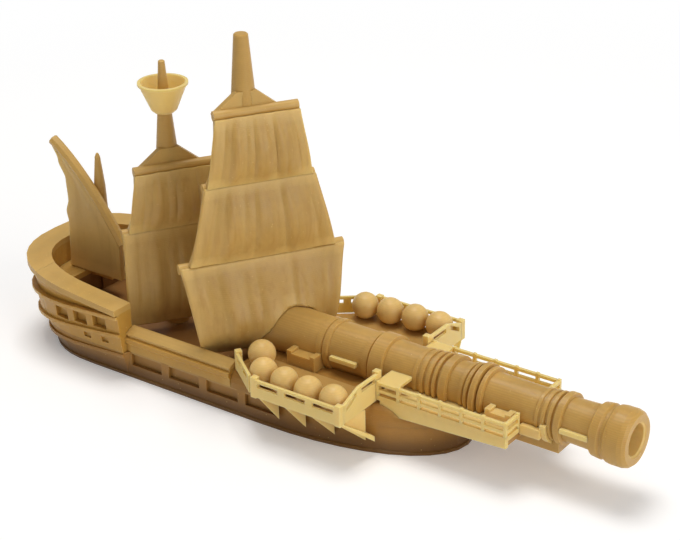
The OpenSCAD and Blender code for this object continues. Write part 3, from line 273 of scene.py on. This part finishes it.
class ResinTree(Tree):
    """Node tree of one finish: a clouded base colour that masks tint one after another."""

    def __init__(self, tree, colour):
        super().__init__(tree)
        place = self.add("ShaderNodeTexCoord").outputs["Object"]
        self.in_mm = self.add("ShaderNodeVectorMath", {0: place, 3: 1 / MM}, operation="SCALE").outputs[0]
        self.mottle = self.noise(self.in_mm, *Grain.mottle_noise)
        clouds = self.noise(self.in_mm, *Grain.cloud_noise)
        tone = self.math(
            "ADD", self.math("MULTIPLY", clouds, Grain.cloud_share),
            self.math("MULTIPLY", self.mottle, 1 - Grain.cloud_share))
        self.base = self.mix(
            self.span(tone, *Grain.tone_range),
            scaled(colour, Grain.tone_dark), scaled(colour, Grain.tone_light))
        scale = MM / resin_settings().layer_pitch / Grain.bands_per_unit
        self.layers = self.add(
            "ShaderNodeTexWave", {"Vector": self.in_mm, "Scale": scale, **Grain.band_wobble},
            wave_type="BANDS", bands_direction="Z", wave_profile="SIN").outputs["Fac"]

    def tint(self, mask, share, colour):
        """Mixes a share of a colour into the base where a mask is 1."""
        self.base = self.mix(self.math("MULTIPLY", mask, share), self.base, colour)

    def print_layers(self):
        return self.layers

    def streaks(self):
        """Upright runs: a noise stretched along the height."""
        upright = self.add(
            "ShaderNodeMapping", {"Vector": self.in_mm, "Scale": Grain.streak_stretch}, vector_type="POINT")
        return self.span(self.noise(upright.outputs[0], *Grain.streak_noise), *Grain.streak_range)

    def thin_edge_light(self):
        """Places where the far side of the resin is close, where light coming through is painted in pale.
        """
        shade = self.add(
            "ShaderNodeAmbientOcclusion", {"Distance": Grain.thin_reach * MM}, samples=Grain.shade_samples,
            inside=True, only_local=True)
        return self.span(shade.outputs["AO"], *Grain.thin_range)

    # Painted shade: darkens the resin where nearby faces block the light, in hollows and between parts
    def hollows(self):
        shade = self.add(
            "ShaderNodeAmbientOcclusion", {"Distance": Grain.hollow_reach * MM},
            samples=Grain.shade_samples)
        return self.span(shade.outputs["AO"], *Grain.hollow_range)

    def bore(self):
        """Inside of the barrel's bore, by the squared distance from its axis, where light is painted in
        pale.
        """
        spot = self.add("ShaderNodeSeparateXYZ", {0: self.in_mm}).outputs
        rise = self.math("SUBTRACT", spot["Z"], BARREL_Z)
        square = self.math(
            "ADD", self.math("MULTIPLY", spot["Y"], spot["Y"]), self.math("MULTIPLY", rise, rise))
        return self.math(
            "MULTIPLY", self.span(square, *Grain.bore_square_range),
            self.span(spot["X"], *Grain.bore_x_range))

    def foot(self):
        """Lowest part of the hull, near the floor, where shade is painted in darker."""
        spot = self.add("ShaderNodeSeparateXYZ", {0: self.in_mm}).outputs
        return self.span(spot["Z"], *Grain.foot_z_range)

    def specks(self):
        """Small bubbles in the resin."""
        cells = self.add(
            "ShaderNodeTexVoronoi",
            {"Vector": self.in_mm, "Scale": Grain.speck_scale, "Randomness": 1.0}, feature="F1")
        return self.span(cells.outputs["Distance"], *Grain.speck_range)

    def shade(self, glow):
        """Satin surface over the base colour, with light that spreads inside it."""
        resin = resin_settings()
        grain = self.noise(self.in_mm, *Grain.bump_noise)
        relief = self.math("ADD", self.math("MULTIPLY", self.layers, Grain.layer_relief), grain)
        bump = self.add(
            "ShaderNodeBump",
            {"Height": relief, "Strength": Grain.bump_strength, "Distance": Grain.bump_depth * MM})
        rough = self.span(
            self.mottle, *Grain.rough_range,
            resin.roughness - Grain.rough_less, resin.roughness + Grain.rough_more)
        shader = self.add(
            "ShaderNodeBsdfPrincipled",
            {"Base Color": self.base, "Roughness": rough, "Normal": bump.outputs["Normal"],
             "IOR": Grain.refraction, "Specular IOR Level": Grain.sheen, "Subsurface Weight": glow,
             "Subsurface Radius": Grain.glow_radius, "Subsurface Scale": resin.glow_depth})
        self.add("ShaderNodeOutputMaterial", {"Surface": shader.outputs[0]})


def resin_material(name, colour, thin, hollow_shade, glow, layers=0.09, streaks=0.0, bore=0.0, foot=0.0):
    """Translucent resin in one of the set colours, with the share of each tint in it; the thin-edge and
    bore tints are painted light, the hollow and foot tints painted shade.
    """
    resin = resin_settings()
    colour = getattr(resin, colour)
    material = bpy.data.materials.new(name)
    material.use_nodes = True
    tree = ResinTree(material.node_tree, colour)
    # Pale colour of painted light through thin edges and in the bore, and of the specks
    pale = scaled(resin.light_and_speck_colour)
    tints = (
        (tree.print_layers, layers, scaled(colour, Grain.layer_dark)),
        (tree.streaks, streaks, streak_tone(colour)),
        (tree.thin_edge_light, thin, pale),
        (tree.hollows, hollow_shade, scaled(resin.painted_shade_colour)),
        (tree.bore, bore, pale),
        (tree.foot, foot, scaled(resin.painted_shade_colour, Grain.floor_shade_dark)),
        (tree.specks, Grain.speck_share, pale),
    )
    for mask, share, shade in tints:
        if share:
            tree.tint(mask(), share, shade)
    tree.shade(glow)
    return material


# Shares of each tint: the hollow share is painted shade in hollows, the foot share painted shade near the
# floor, the thin share painted light through thin edges and the bore share painted light in the bore
FINISHES = {
    "hull": {"colour": "hull_colour", "thin": 0.2, "hollow_shade": 0.2, "glow": 0.5, "foot": 0.72},
    "castle": {"colour": "castle_colour", "thin": 0.3, "hollow_shade": 0.2, "glow": 0.5},
    "deck": {"colour": "deck_colour", "thin": 0.0, "hollow_shade": 0.3, "glow": 0.5},
    "sail": {"colour": "sail_colour", "thin": 0.6, "hollow_shade": 0.06, "glow": 0.6, "streaks": 0.38},
    "barrel": {
        "colour": "barrel_colour", "thin": 0.15, "hollow_shade": 0.0, "glow": 0.6, "layers": 0.16, "bore": 0.75},
    "mast": {"colour": "barrel_colour", "thin": 0.15, "hollow_shade": 0.05, "glow": 0.2},
    "ball": {"colour": "ball_colour", "thin": 0.35, "hollow_shade": 0.0, "glow": 0.7},
    "thin": {"colour": "thin_colour", "thin": 0.6, "hollow_shade": 0.0, "glow": 0.7},
}
MATERIALS = {}


def finish_of(name):
    """Makes each resin finish once."""
    if name not in MATERIALS:
        MATERIALS[name] = resin_material(f"resin_{name}", **FINISHES[name])
    return MATERIALS[name]


def paint(piece, finish):
    piece.data.materials.clear()
    piece.data.materials.append(finish_of(finish))


# Pieces of the frame, which keep their own meshes

# Degrees from which an edge is rounded, and up to which faces count as one flat face
CAST_EDGE_ANGLE = 32.0
SAIL_EDGE_ANGLE = 50.0
FLAT_ANGLE = 0.6
EDGE_SEGMENTS = 3


def round_edges(piece, width, degrees):
    bevel = piece.modifiers.new("cast_edges", "BEVEL")
    bevel.width = width
    bevel.segments = EDGE_SEGMENTS
    bevel.limit_method = "ANGLE"
    bevel.angle_limit = math.radians(degrees)
    bevel.use_clamp_overlap = True
    bevel.harden_normals = False


def even_shading(piece):
    piece.data.shade_smooth()
    normals = piece.modifiers.new("even_shading", "WEIGHTED_NORMAL")
    normals.keep_sharp = True


def soften(piece, width):
    """Rounds the cast edges and smooths the curved faces, with the mesh itself left alone."""
    flatten = piece.modifiers.new("flat_faces", "DECIMATE")
    flatten.decimate_type = "DISSOLVE"
    flatten.angle_limit = math.radians(FLAT_ANGLE)
    round_edges(piece, width, CAST_EDGE_ANGLE)
    even_shading(piece)


def dress(names, finish, round_share=1.0):
    """Gives nodes their finish and a share of the set edge rounding."""
    for name in names:
        piece = NODES[name]
        paint(piece, finish)
        soften(piece, resin_settings().edge_round * round_share)


class TOKEN_OT_hull(bpy.types.Operator):
    """Dress the hull block and the forecastle"""

    bl_idname = "token.hull"
    bl_label = "Hull and forecastle"
    bl_options = {"REGISTER", "UNDO"}

    def execute(self, context):
        dress(["hull", "forecastle"], "hull")
        return {"FINISHED"}


class TOKEN_OT_castle(bpy.types.Operator):
    """Dress the bulwarks, the walls of the stern castle and the quarterdeck inside them"""

    bl_idname = "token.castle"
    bl_label = "Bulwarks and stern castle"
    bl_options = {"REGISTER", "UNDO"}

    def execute(self, context):
        dress(both("bulwark", "castle_side") + ["castle_transom", "quarterdeck"], "castle")
        return {"FINISHED"}


class TOKEN_OT_decks(bpy.types.Operator):
    """Dress the main deck and the cabin bulkhead in darker resin that paints in their shade"""

    bl_idname = "token.decks"
    bl_label = "Main deck and bulkhead"
    bl_options = {"REGISTER", "UNDO"}

    def execute(self, context):
        dress(["main_deck", "cabin_bulkhead"], "deck")
        return {"FINISHED"}


class TOKEN_OT_rails(bpy.types.Operator):
    """Dress the stern rail and the cap rails"""

    bl_idname = "token.rails"
    bl_label = "Stern rail and cap rails"
    bl_options = {"REGISTER", "UNDO"}

    def execute(self, context):
        dress(both("stern_rail", "cap_rail") + ["stern_rail_aft"], "mast", round_share=1.5)
        return {"FINISHED"}


class TOKEN_OT_bow(bpy.types.Operator):
    """Dress the bow cheeks beside the barrel and the gallery floors"""

    bl_idname = "token.bow"
    bl_label = "Bow cheeks and gallery floors"
    bl_options = {"REGISTER", "UNDO"}

    def execute(self, context):
        dress(both("bow_cheek", "gallery_floor"), "hull")
        return {"FINISHED"}


class TOKEN_OT_chocks(bpy.types.Operator):
    """Dress the aft chocks and the beam under the barrel"""

    bl_idname = "token.chocks"
    bl_label = "Aft chocks and beam"
    bl_options = {"REGISTER", "UNDO"}

    def execute(self, context):
        dress(["cradle_chocks_aft", "bow_beam"], "barrel", round_share=1.5)
        return {"FINISHED"}


class TOKEN_OT_galleries(bpy.types.Operator):
    """Dress the slotted gallery rails and their knees"""

    bl_idname = "token.galleries"
    bl_label = "Gallery rails"
    bl_options = {"REGISTER", "UNDO"}

    def execute(self, context):
        dress(both("gallery_aft_rail", "gallery_side_rail", "gallery_fore_rail", "gallery_knees"), "thin")
        return {"FINISHED"}


class TOKEN_OT_walkways(bpy.types.Operator):
    """Dress the walkways, their guard rails and the barrel's lugs"""

    bl_idname = "token.walkways"
    bl_label = "Walkways and lugs"
    bl_options = {"REGISTER", "UNDO"}

    def execute(self, context):
        dress(both("walkway", "walkway_rail") + ["barrel_lugs"], "thin")
        return {"FINISHED"}


class TOKEN_OT_barrel(bpy.types.Operator):
    """Dress the banded barrel"""

    bl_idname = "token.barrel"
    bl_label = "Barrel"
    bl_options = {"REGISTER", "UNDO"}

    def execute(self, context):
        dress(["cannon_barrel"], "barrel", round_share=0.6)
        return {"FINISHED"}


class TOKEN_OT_balls(bpy.types.Operator):
    """Dress the cannonballs, the fore chocks and the barrel's straps"""

    bl_idname = "token.balls"
    bl_label = "Cannonballs, fore chocks and straps"
    bl_options = {"REGISTER", "UNDO"}

    def execute(self, context):
        dress(both("cannonballs") + ["cradle_chocks_fore", "barrel_straps"], "ball")
        return {"FINISHED"}


class TOKEN_OT_masts(bpy.types.Operator):
    """Dress the masts and all their yards"""

    bl_idname = "token.masts"
    bl_label = "Masts and yards"
    bl_options = {"REGISTER", "UNDO"}

    def execute(self, context):
        dress(["fore_mast", "main_mast", "mizzen_mast", "fore_topgallant_yard", "fore_topsail_yard",
               "fore_course_yard", "main_topsail_yard", "main_course_yard", "lateen_yard"],
              "mast", round_share=1.8)
        return {"FINISHED"}


class TOKEN_OT_nest(bpy.types.Operator):
    """Dress the crow's nest"""

    bl_idname = "token.nest"
    bl_label = "Crow's nest"
    bl_options = {"REGISTER", "UNDO"}

    def execute(self, context):
        dress(["crow_nest"], "thin")
        return {"FINISHED"}


# Cast sails, which take the place of the frame's sails

def linked_object(mesh, name):
    """New object in the scene from a finished bmesh."""
    data = bpy.data.meshes.new(name)
    mesh.to_mesh(data)
    mesh.free()
    piece = bpy.data.objects.new(name, data)
    bpy.context.scene.collection.objects.link(piece)
    return piece


def keep_result(piece):
    """Writes what the modifiers make into the mesh."""
    graph = bpy.context.evaluated_depsgraph_get()
    made = bpy.data.meshes.new_from_object(piece.evaluated_get(graph))
    piece.modifiers.clear()
    old = piece.data
    piece.data = made
    bpy.data.meshes.remove(old)


def thick_sheet(mesh, rows, name, thickness):
    """Sail with rounded edges, from a bmesh and the rows of its middle surface's points."""
    for first, second in zip(rows, rows[1:]):
        for j in range(len(first) - 1):
            mesh.faces.new((first[j], second[j], second[j + 1], first[j + 1]))
    piece = linked_object(mesh, name)
    solid = piece.modifiers.new("thickness", "SOLIDIFY")
    solid.thickness = thickness
    solid.offset = 0.0
    round_edges(piece, sail_settings().edge_round, SAIL_EDGE_ANGLE)
    return piece


class SquareSail:
    """One cast square sail: its node, mast, half lengths, heights and belly, in millimetres."""

    leech = 0.72
    fold_count = 4
    crease_depth = 0.05
    crease_lean = 0.8
    creases = ((9.0, 0.7), (13.0, 2.1), (6.5, 4.0))
    head_ease = 2
    foot_ease = 4
    mast_fit = 0.06

    def __init__(self, node, mast_x, mast_r, head_l, foot_l, head_z, foot_z, belly, skew):
        self.node = node
        self.mast_x = mast_x
        self.mast_r = mast_r
        self.head_l = head_l
        self.foot_l = foot_l
        self.head_z = head_z
        self.foot_z = foot_z
        self.belly = belly
        self.skew = skew

    def place(self):
        """Frame of the braced yards in front of their mast."""
        sails = sail_settings()
        shift = Matrix.Translation((self.mast_x * MM + sails.yard_fore, 0.0, 0.0))
        return shift @ Matrix.Rotation(-sails.brace, 4, "Z")

    def middle(self, u, v):
        """Point of the sail's middle surface, u across from -1 to 1 and v down from 0 to 1."""
        sails = sail_settings()
        thickness = sails.thickness / MM
        fore = self.mast_r + self.mast_fit - sails.yard_fore / MM * math.cos(sails.brace) + thickness / 2
        belly = self.belly * (1 - self.leech * u * u) * math.sin(math.pi * v ** self.skew)
        fold = sails.fold_depth / MM * math.cos(math.pi * self.fold_count * u)
        fold += self.crease_depth * sum(
            math.cos(math.pi * count * u + phase + self.crease_lean * v) for count, phase in self.creases)
        fold *= math.sin(math.pi / 2 * min(1.0, v * self.head_ease, (1 - v) * self.foot_ease))
        half = self.head_l + (self.foot_l - self.head_l) * v
        height = self.head_z + (self.foot_z - self.head_z) * v
        return Vector((fore + belly + fold, u * half, height)) * MM

    def build(self):
        sails = sail_settings()
        place = self.place()
        mesh = bmesh.new()
        rows = []
        for k in range(sails.rows + 1):
            v = k / sails.rows
            rows.append([
                mesh.verts.new(place @ self.middle(2 * j / sails.columns - 1, v))
                for j in range(sails.columns + 1)])
        return thick_sheet(mesh, rows, f"cast_{self.node}", sails.thickness)


def cut_away(piece, cutters):
    """Takes the cutters' shapes out of a piece and removes them."""
    for cutter in cutters:
        cut = piece.modifiers.new("cut", "BOOLEAN")
        cut.operation = "DIFFERENCE"
        cut.solver = "EXACT"
        cut.object = cutter
    keep_result(piece)
    for cutter in cutters:
        data = cutter.data
        bpy.data.objects.remove(cutter)
        bpy.data.meshes.remove(data)


def block(low, high):
    """Box between two corners in millimetres."""
    mesh = bmesh.new()
    size = [(b - a) * MM for a, b in zip(low, high)]
    middle = [(a + b) / 2 * MM for a, b in zip(low, high)]
    place = Matrix.Translation(middle) @ Matrix.Diagonal((*size, 1.0))
    bmesh.ops.create_cube(mesh, size=1.0, matrix=place)
    return linked_object(mesh, "cutter")


def drum(x, z, radius, length, segments=96):
    """Cylinder along +X from a station, in millimetres."""
    mesh = bmesh.new()
    place = Matrix.Translation(((x + length / 2) * MM, 0.0, z * MM)) @ Matrix.Rotation(math.pi / 2, 4, "Y")
    bmesh.ops.create_cone(
        mesh, cap_ends=True, segments=segments, radius1=radius * MM, radius2=radius * MM,
        depth=length * MM, matrix=place)
    return linked_object(mesh, "cutter")


class CourseFoot:
    """Room under the fore course for the barrel and the forecastle, in millimetres."""

    barrel_x = 2.1
    barrel_r = 3.33
    forecastle_x = 3.7
    forecastle_z = 6.5
    past_x = 40.0
    past_y = 30.0
    past_z = -5.0

    def cutters(self):
        return [
            drum(self.barrel_x, BARREL_Z, self.barrel_r, self.past_x),
            block((self.barrel_x, -self.barrel_r, self.past_z), (self.past_x, self.barrel_r, BARREL_Z)),
            block((self.forecastle_x, -self.past_y, self.past_z),
                  (self.past_x, self.past_y, self.forecastle_z))]


FORE_X = 0.0
FORE_R = 1.5
MAIN_X = -12.9
MAIN_R = 1.35
COURSE_FOOT_Z = 5.33
UPPER_SKEW = 1.2
COURSE_SKEW = 1.5

# Node, body, mast, half lengths and heights of head and foot, setting of the belly and how low it hangs
SQUARE_SAILS = (
    ("fore_topgallant", FORE, FORE_X, FORE_R, 5.4, 6.8, 36.1, 27.6, "belly", UPPER_SKEW),
    ("fore_topsail", FORE, FORE_X, FORE_R, 7.2, 9.6, 27.5, 17.5, "belly", UPPER_SKEW),
    ("fore_course", FORE, FORE_X, FORE_R, 10.8, 8.6, 17.4, COURSE_FOOT_Z, "course_belly", COURSE_SKEW),
    ("main_topsail", MAIN, MAIN_X, MAIN_R, 5.9, 7.2, 26.0, 18.5, "belly", UPPER_SKEW),
    ("main_course", MAIN, MAIN_X, MAIN_R, 8.0, 8.2, 18.4, COURSE_FOOT_Z, "belly", UPPER_SKEW),
)


class TOKEN_OT_square_sails(bpy.types.Operator):
    """Build the bellied square sails with their folds"""

    bl_idname = "token.square_sails"
    bl_label = "Square sails"
    bl_options = {"REGISTER", "UNDO"}

    def execute(self, context):
        sails = sail_settings()
        for node, body, mast_x, mast_r, head_l, foot_l, head_z, foot_z, belly, skew in SQUARE_SAILS:
            depth = getattr(sails, belly) / MM
            sail = SquareSail(node, mast_x, mast_r, head_l, foot_l, head_z, foot_z, depth, skew)
            piece = sail.build()
            if node == "fore_course":
                cut_away(piece, CourseFoot().cutters())
            else:
                keep_result(piece)
            paint(piece, "sail")
            even_shading(piece)
            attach(piece, body)
            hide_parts(node)
        return {"FINISHED"}


class LateenSail:
    """Outline of the cast lateen in its own plane, as stations and heights in millimetres."""

    peak = Vector((-31.6, 26.0))
    bend = Vector((-26.2, 22.5))
    tack = Vector((-20.4, 13.5))
    foot_z = 8.25
    head_gap = 0.8
    fore_x = -20.8
    plane_y = -1.49
    leech = ((8.25, -29.9), (11.5, -29.75), (14.8, -29.6), (16.2, -29.85), (18.0, -29.35), (20.9, -29.5),
             (23.4, -30.6), (26.0, -31.75))
    rows = 60
    columns = 20
    halvings = 40
    ripple_depth = 0.07
    ripple_across = 9.0
    ripple_up = 4.0

    def luff(self, z):
        """Station of the yard's axis at a height, or of the fore edge under it."""
        if z <= self.tack.y:
            return self.fore_x
        low, high = 0.0, 1.0
        for _ in range(self.halvings):
            t = (low + high) / 2
            low, high = (t, high) if self.yard(t).y > z else (low, t)
        return self.yard(t).x

    def yard(self, t):
        """Point of the yard's axis, a curve from the peak to the tack."""
        return (1 - t) ** 2 * self.peak + 2 * t * (1 - t) * self.bend + t * t * self.tack

    def edge(self, z):
        """Station of the leech at a height, eased from point to point."""
        for (z0, x0), (z1, x1) in zip(self.leech, self.leech[1:]):
            if z <= z1:
                share = max(0.0, (z - z0) / (z1 - z0))
                return x0 + (x1 - x0) * share * share * (3 - 2 * share)
        return self.leech[-1][1]

    def build(self):
        mesh = bmesh.new()
        rows = []
        top = self.peak.y - self.head_gap
        for k in range(self.rows + 1):
            v = k / self.rows
            z = self.foot_z + (top - self.foot_z) * v
            aft, fore = self.edge(z), self.luff(z)
            row = []
            for j in range(self.columns + 1):
                u = j / self.columns
                wave = math.cos(self.ripple_across * u + self.ripple_up * v)
                y = self.plane_y + self.ripple_depth * math.sin(math.pi * u) * wave
                row.append(mesh.verts.new(Vector((aft + (fore - aft) * u, y, z)) * MM))
            rows.append(row)
        return thick_sheet(mesh, rows, "cast_lateen_sail", sail_settings().lateen_thickness)


class TOKEN_OT_lateen(bpy.types.Operator):
    """Build the lateen sail that hangs from its curved yard"""

    bl_idname = "token.lateen"
    bl_label = "Lateen sail"
    bl_options = {"REGISTER", "UNDO"}

    def execute(self, context):
        piece = LateenSail().build()
        keep_result(piece)
        paint(piece, "sail")
        even_shading(piece)
        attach(piece, MIZZEN)
        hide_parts("lateen_sail")
        return {"FINISHED"}


# Stage, in metres

SENSOR_WIDTH_MM = 36.0
CLIP_START = 0.005
CLIP_END = 20.0
FLOOR_REACH = 3.0
FLOOR_DROP = 0.02 * MM
FLOOR_LIFT = 0.17
FLOOR_WHITE_RANGE = (0.07, 0.17)

# Name, place, target, side and power setting of each light
SOFTBOXES = (
    ("key_softbox", (-0.05, 0.05, 0.44), (0.01, 0.0, 0.01), 0.2, "key_power"),
    ("fill_softbox", (0.52, -0.10, 0.20), (0.02, 0.0, 0.01), 0.4, "fill_power"),
)


def look_matrix(stage):
    """Camera matrix from its target, angles and roll."""
    a, e, r = stage.azimuth, stage.elevation, stage.roll
    back = Vector((math.sin(a) * math.cos(e), -math.cos(a) * math.cos(e), math.sin(e)))
    right = Vector((math.cos(a), math.sin(a), 0.0))
    up = back.cross(right)
    rolled_right = right * math.cos(r) + up * math.sin(r)
    rolled_up = up * math.cos(r) - right * math.sin(r)
    place = Vector(stage.target) + back * stage.distance
    turn = Matrix((rolled_right, rolled_up, back)).transposed()
    return Matrix.Translation(place) @ turn.to_4x4()


def add_camera(scene, stage):
    data = bpy.data.cameras.new("photo_camera")
    data.lens = stage.lens
    data.sensor_width = SENSOR_WIDTH_MM
    data.sensor_fit = "HORIZONTAL"
    data.clip_start = CLIP_START
    data.clip_end = CLIP_END
    camera = bpy.data.objects.new("photo_camera", data)
    scene.collection.objects.link(camera)
    camera.matrix_world = look_matrix(stage)
    scene.camera = camera


def floor_material(colour):
    """Pale floor that keeps the token's soft shadow and turns white away from it."""
    material = bpy.data.materials.new("pale_floor")
    material.use_nodes = True
    tree = Tree(material.node_tree)
    path = tree.add("ShaderNodeLightPath").outputs
    seen = tree.math("MAXIMUM", path["Is Camera Ray"], path["Is Glossy Ray"])
    seen = tree.math("MAXIMUM", seen, path["Is Transmission Ray"])
    diffuse = tree.add("ShaderNodeBsdfDiffuse", {"Color": scaled(colour)}).outputs[0]
    lift = tree.add("ShaderNodeEmission", {"Color": WHITE, "Strength": FLOOR_LIFT}).outputs[0]
    near = tree.add("ShaderNodeAddShader", {0: diffuse, 1: lift}).outputs[0]
    far = tree.add("ShaderNodeEmission", {"Color": WHITE, "Strength": 1.0}).outputs[0]
    place = tree.add("ShaderNodeTexCoord").outputs["Object"]
    away = tree.add("ShaderNodeVectorMath", {0: place}, operation="LENGTH").outputs["Value"]
    away = tree.span(away, *FLOOR_WHITE_RANGE)
    shown = tree.add("ShaderNodeMixShader", {0: away, 1: near, 2: far}).outputs[0]
    surface = tree.add("ShaderNodeMixShader", {0: seen, 1: diffuse, 2: shown}).outputs[0]
    tree.add("ShaderNodeOutputMaterial", {"Surface": surface})
    return material


def add_floor(scene, stage):
    mesh = bpy.data.meshes.new("floor")
    corners = [(x * FLOOR_REACH, y * FLOOR_REACH, 0.0) for x, y in ((-1, -1), (1, -1), (1, 1), (-1, 1))]
    mesh.from_pydata(corners, [], [(0, 1, 2, 3)])
    mesh.materials.append(floor_material(stage.floor_colour))
    floor = bpy.data.objects.new("floor", mesh)
    scene.collection.objects.link(floor)
    floor.location.z = -FLOOR_DROP
    return floor


def add_softbox(scene, name, place, target, side, power):
    """Square soft light at a place, turned to its target."""
    data = bpy.data.lights.new(name, "AREA")
    data.shape = "SQUARE"
    data.size = side
    data.energy = power
    lamp = bpy.data.objects.new(name, data)
    scene.collection.objects.link(lamp)
    lamp.location = place
    lamp.rotation_euler = (Vector(target) - Vector(place)).to_track_quat("-Z", "Y").to_euler()


def add_sky(scene, stage):
    """Even light from all round, which the camera sees as white."""
    world = bpy.data.worlds.new("soft_sky")
    scene.world = world
    world.use_nodes = True
    tree = Tree(world.node_tree)
    seen = tree.add("ShaderNodeLightPath").outputs["Is Camera Ray"]
    level = tree.math("MULTIPLY", seen, 1.0 - stage.sky_level)
    level = tree.math("ADD", level, stage.sky_level)
    sky = tree.add("ShaderNodeBackground", {"Color": WHITE, "Strength": level})
    tree.add("ShaderNodeOutputWorld", {"Surface": sky.outputs[0]})


class TOKEN_OT_stage(bpy.types.Operator):
    """Set the token on a pale floor under soft studio light, seen at the photograph's angle"""

    bl_idname = "token.stage"
    bl_label = "Stage"
    bl_options = {"REGISTER", "UNDO"}

    def execute(self, context):
        scene = context.scene
        stage = stage_settings()
        add_camera(scene, stage)
        floor = add_floor(scene, stage)
        for name, place, target, side, power in SOFTBOXES:
            add_softbox(scene, name, place, target, side, getattr(stage, power))
        add_sky(scene, stage)
        scene.view_settings.view_transform = "Standard"
        return {"FINISHED"}


# Add-on

OPERATORS = (
    TOKEN_OT_stage, TOKEN_OT_hull, TOKEN_OT_castle, TOKEN_OT_decks, TOKEN_OT_rails, TOKEN_OT_bow,
    TOKEN_OT_chocks, TOKEN_OT_galleries, TOKEN_OT_walkways, TOKEN_OT_barrel, TOKEN_OT_balls, TOKEN_OT_masts,
    TOKEN_OT_nest, TOKEN_OT_square_sails, TOKEN_OT_lateen)


class TOKEN_PT_panel(bpy.types.Panel):
    """Lists the token's settings and the operators that build it"""

    bl_idname = "TOKEN_PT_panel"
    bl_label = "Ship token"
    bl_space_type = "VIEW_3D"
    bl_region_type = "UI"
    bl_category = "Token"

    def draw(self, context):
        layout = self.layout
        for settings in (context.scene.token_resin, context.scene.token_sails, context.scene.token_stage):
            box = layout.box()
            for key in settings.bl_rna.properties.keys():
                if key not in {"rna_type", "name"}:
                    box.prop(settings, key)
        for operator in OPERATORS:
            layout.operator(operator.bl_idname)


CLASSES = (TokenResin, TokenSails, TokenStage) + OPERATORS + (TOKEN_PT_panel,)


def register():
    for item in CLASSES:
        bpy.utils.register_class(item)
    bpy.types.Scene.token_resin = PointerProperty(type=TokenResin)
    bpy.types.Scene.token_sails = PointerProperty(type=TokenSails)
    bpy.types.Scene.token_stage = PointerProperty(type=TokenStage)


def unregister():
    del bpy.types.Scene.token_resin
    del bpy.types.Scene.token_sails
    del bpy.types.Scene.token_stage
    for item in reversed(CLASSES):
        bpy.utils.unregister_class(item)


def main():
    register()
    bpy.ops.token.stage()
    bpy.ops.token.hull()
    bpy.ops.token.castle()
    bpy.ops.token.decks()
    bpy.ops.token.rails()
    bpy.ops.token.bow()
    bpy.ops.token.chocks()
    bpy.ops.token.galleries()
    bpy.ops.token.walkways()
    bpy.ops.token.barrel()
    bpy.ops.token.balls()
    bpy.ops.token.masts()
    bpy.ops.token.nest()
    bpy.ops.token.square_sails()
    bpy.ops.token.lateen()


if __name__ == "__main__":
    main()
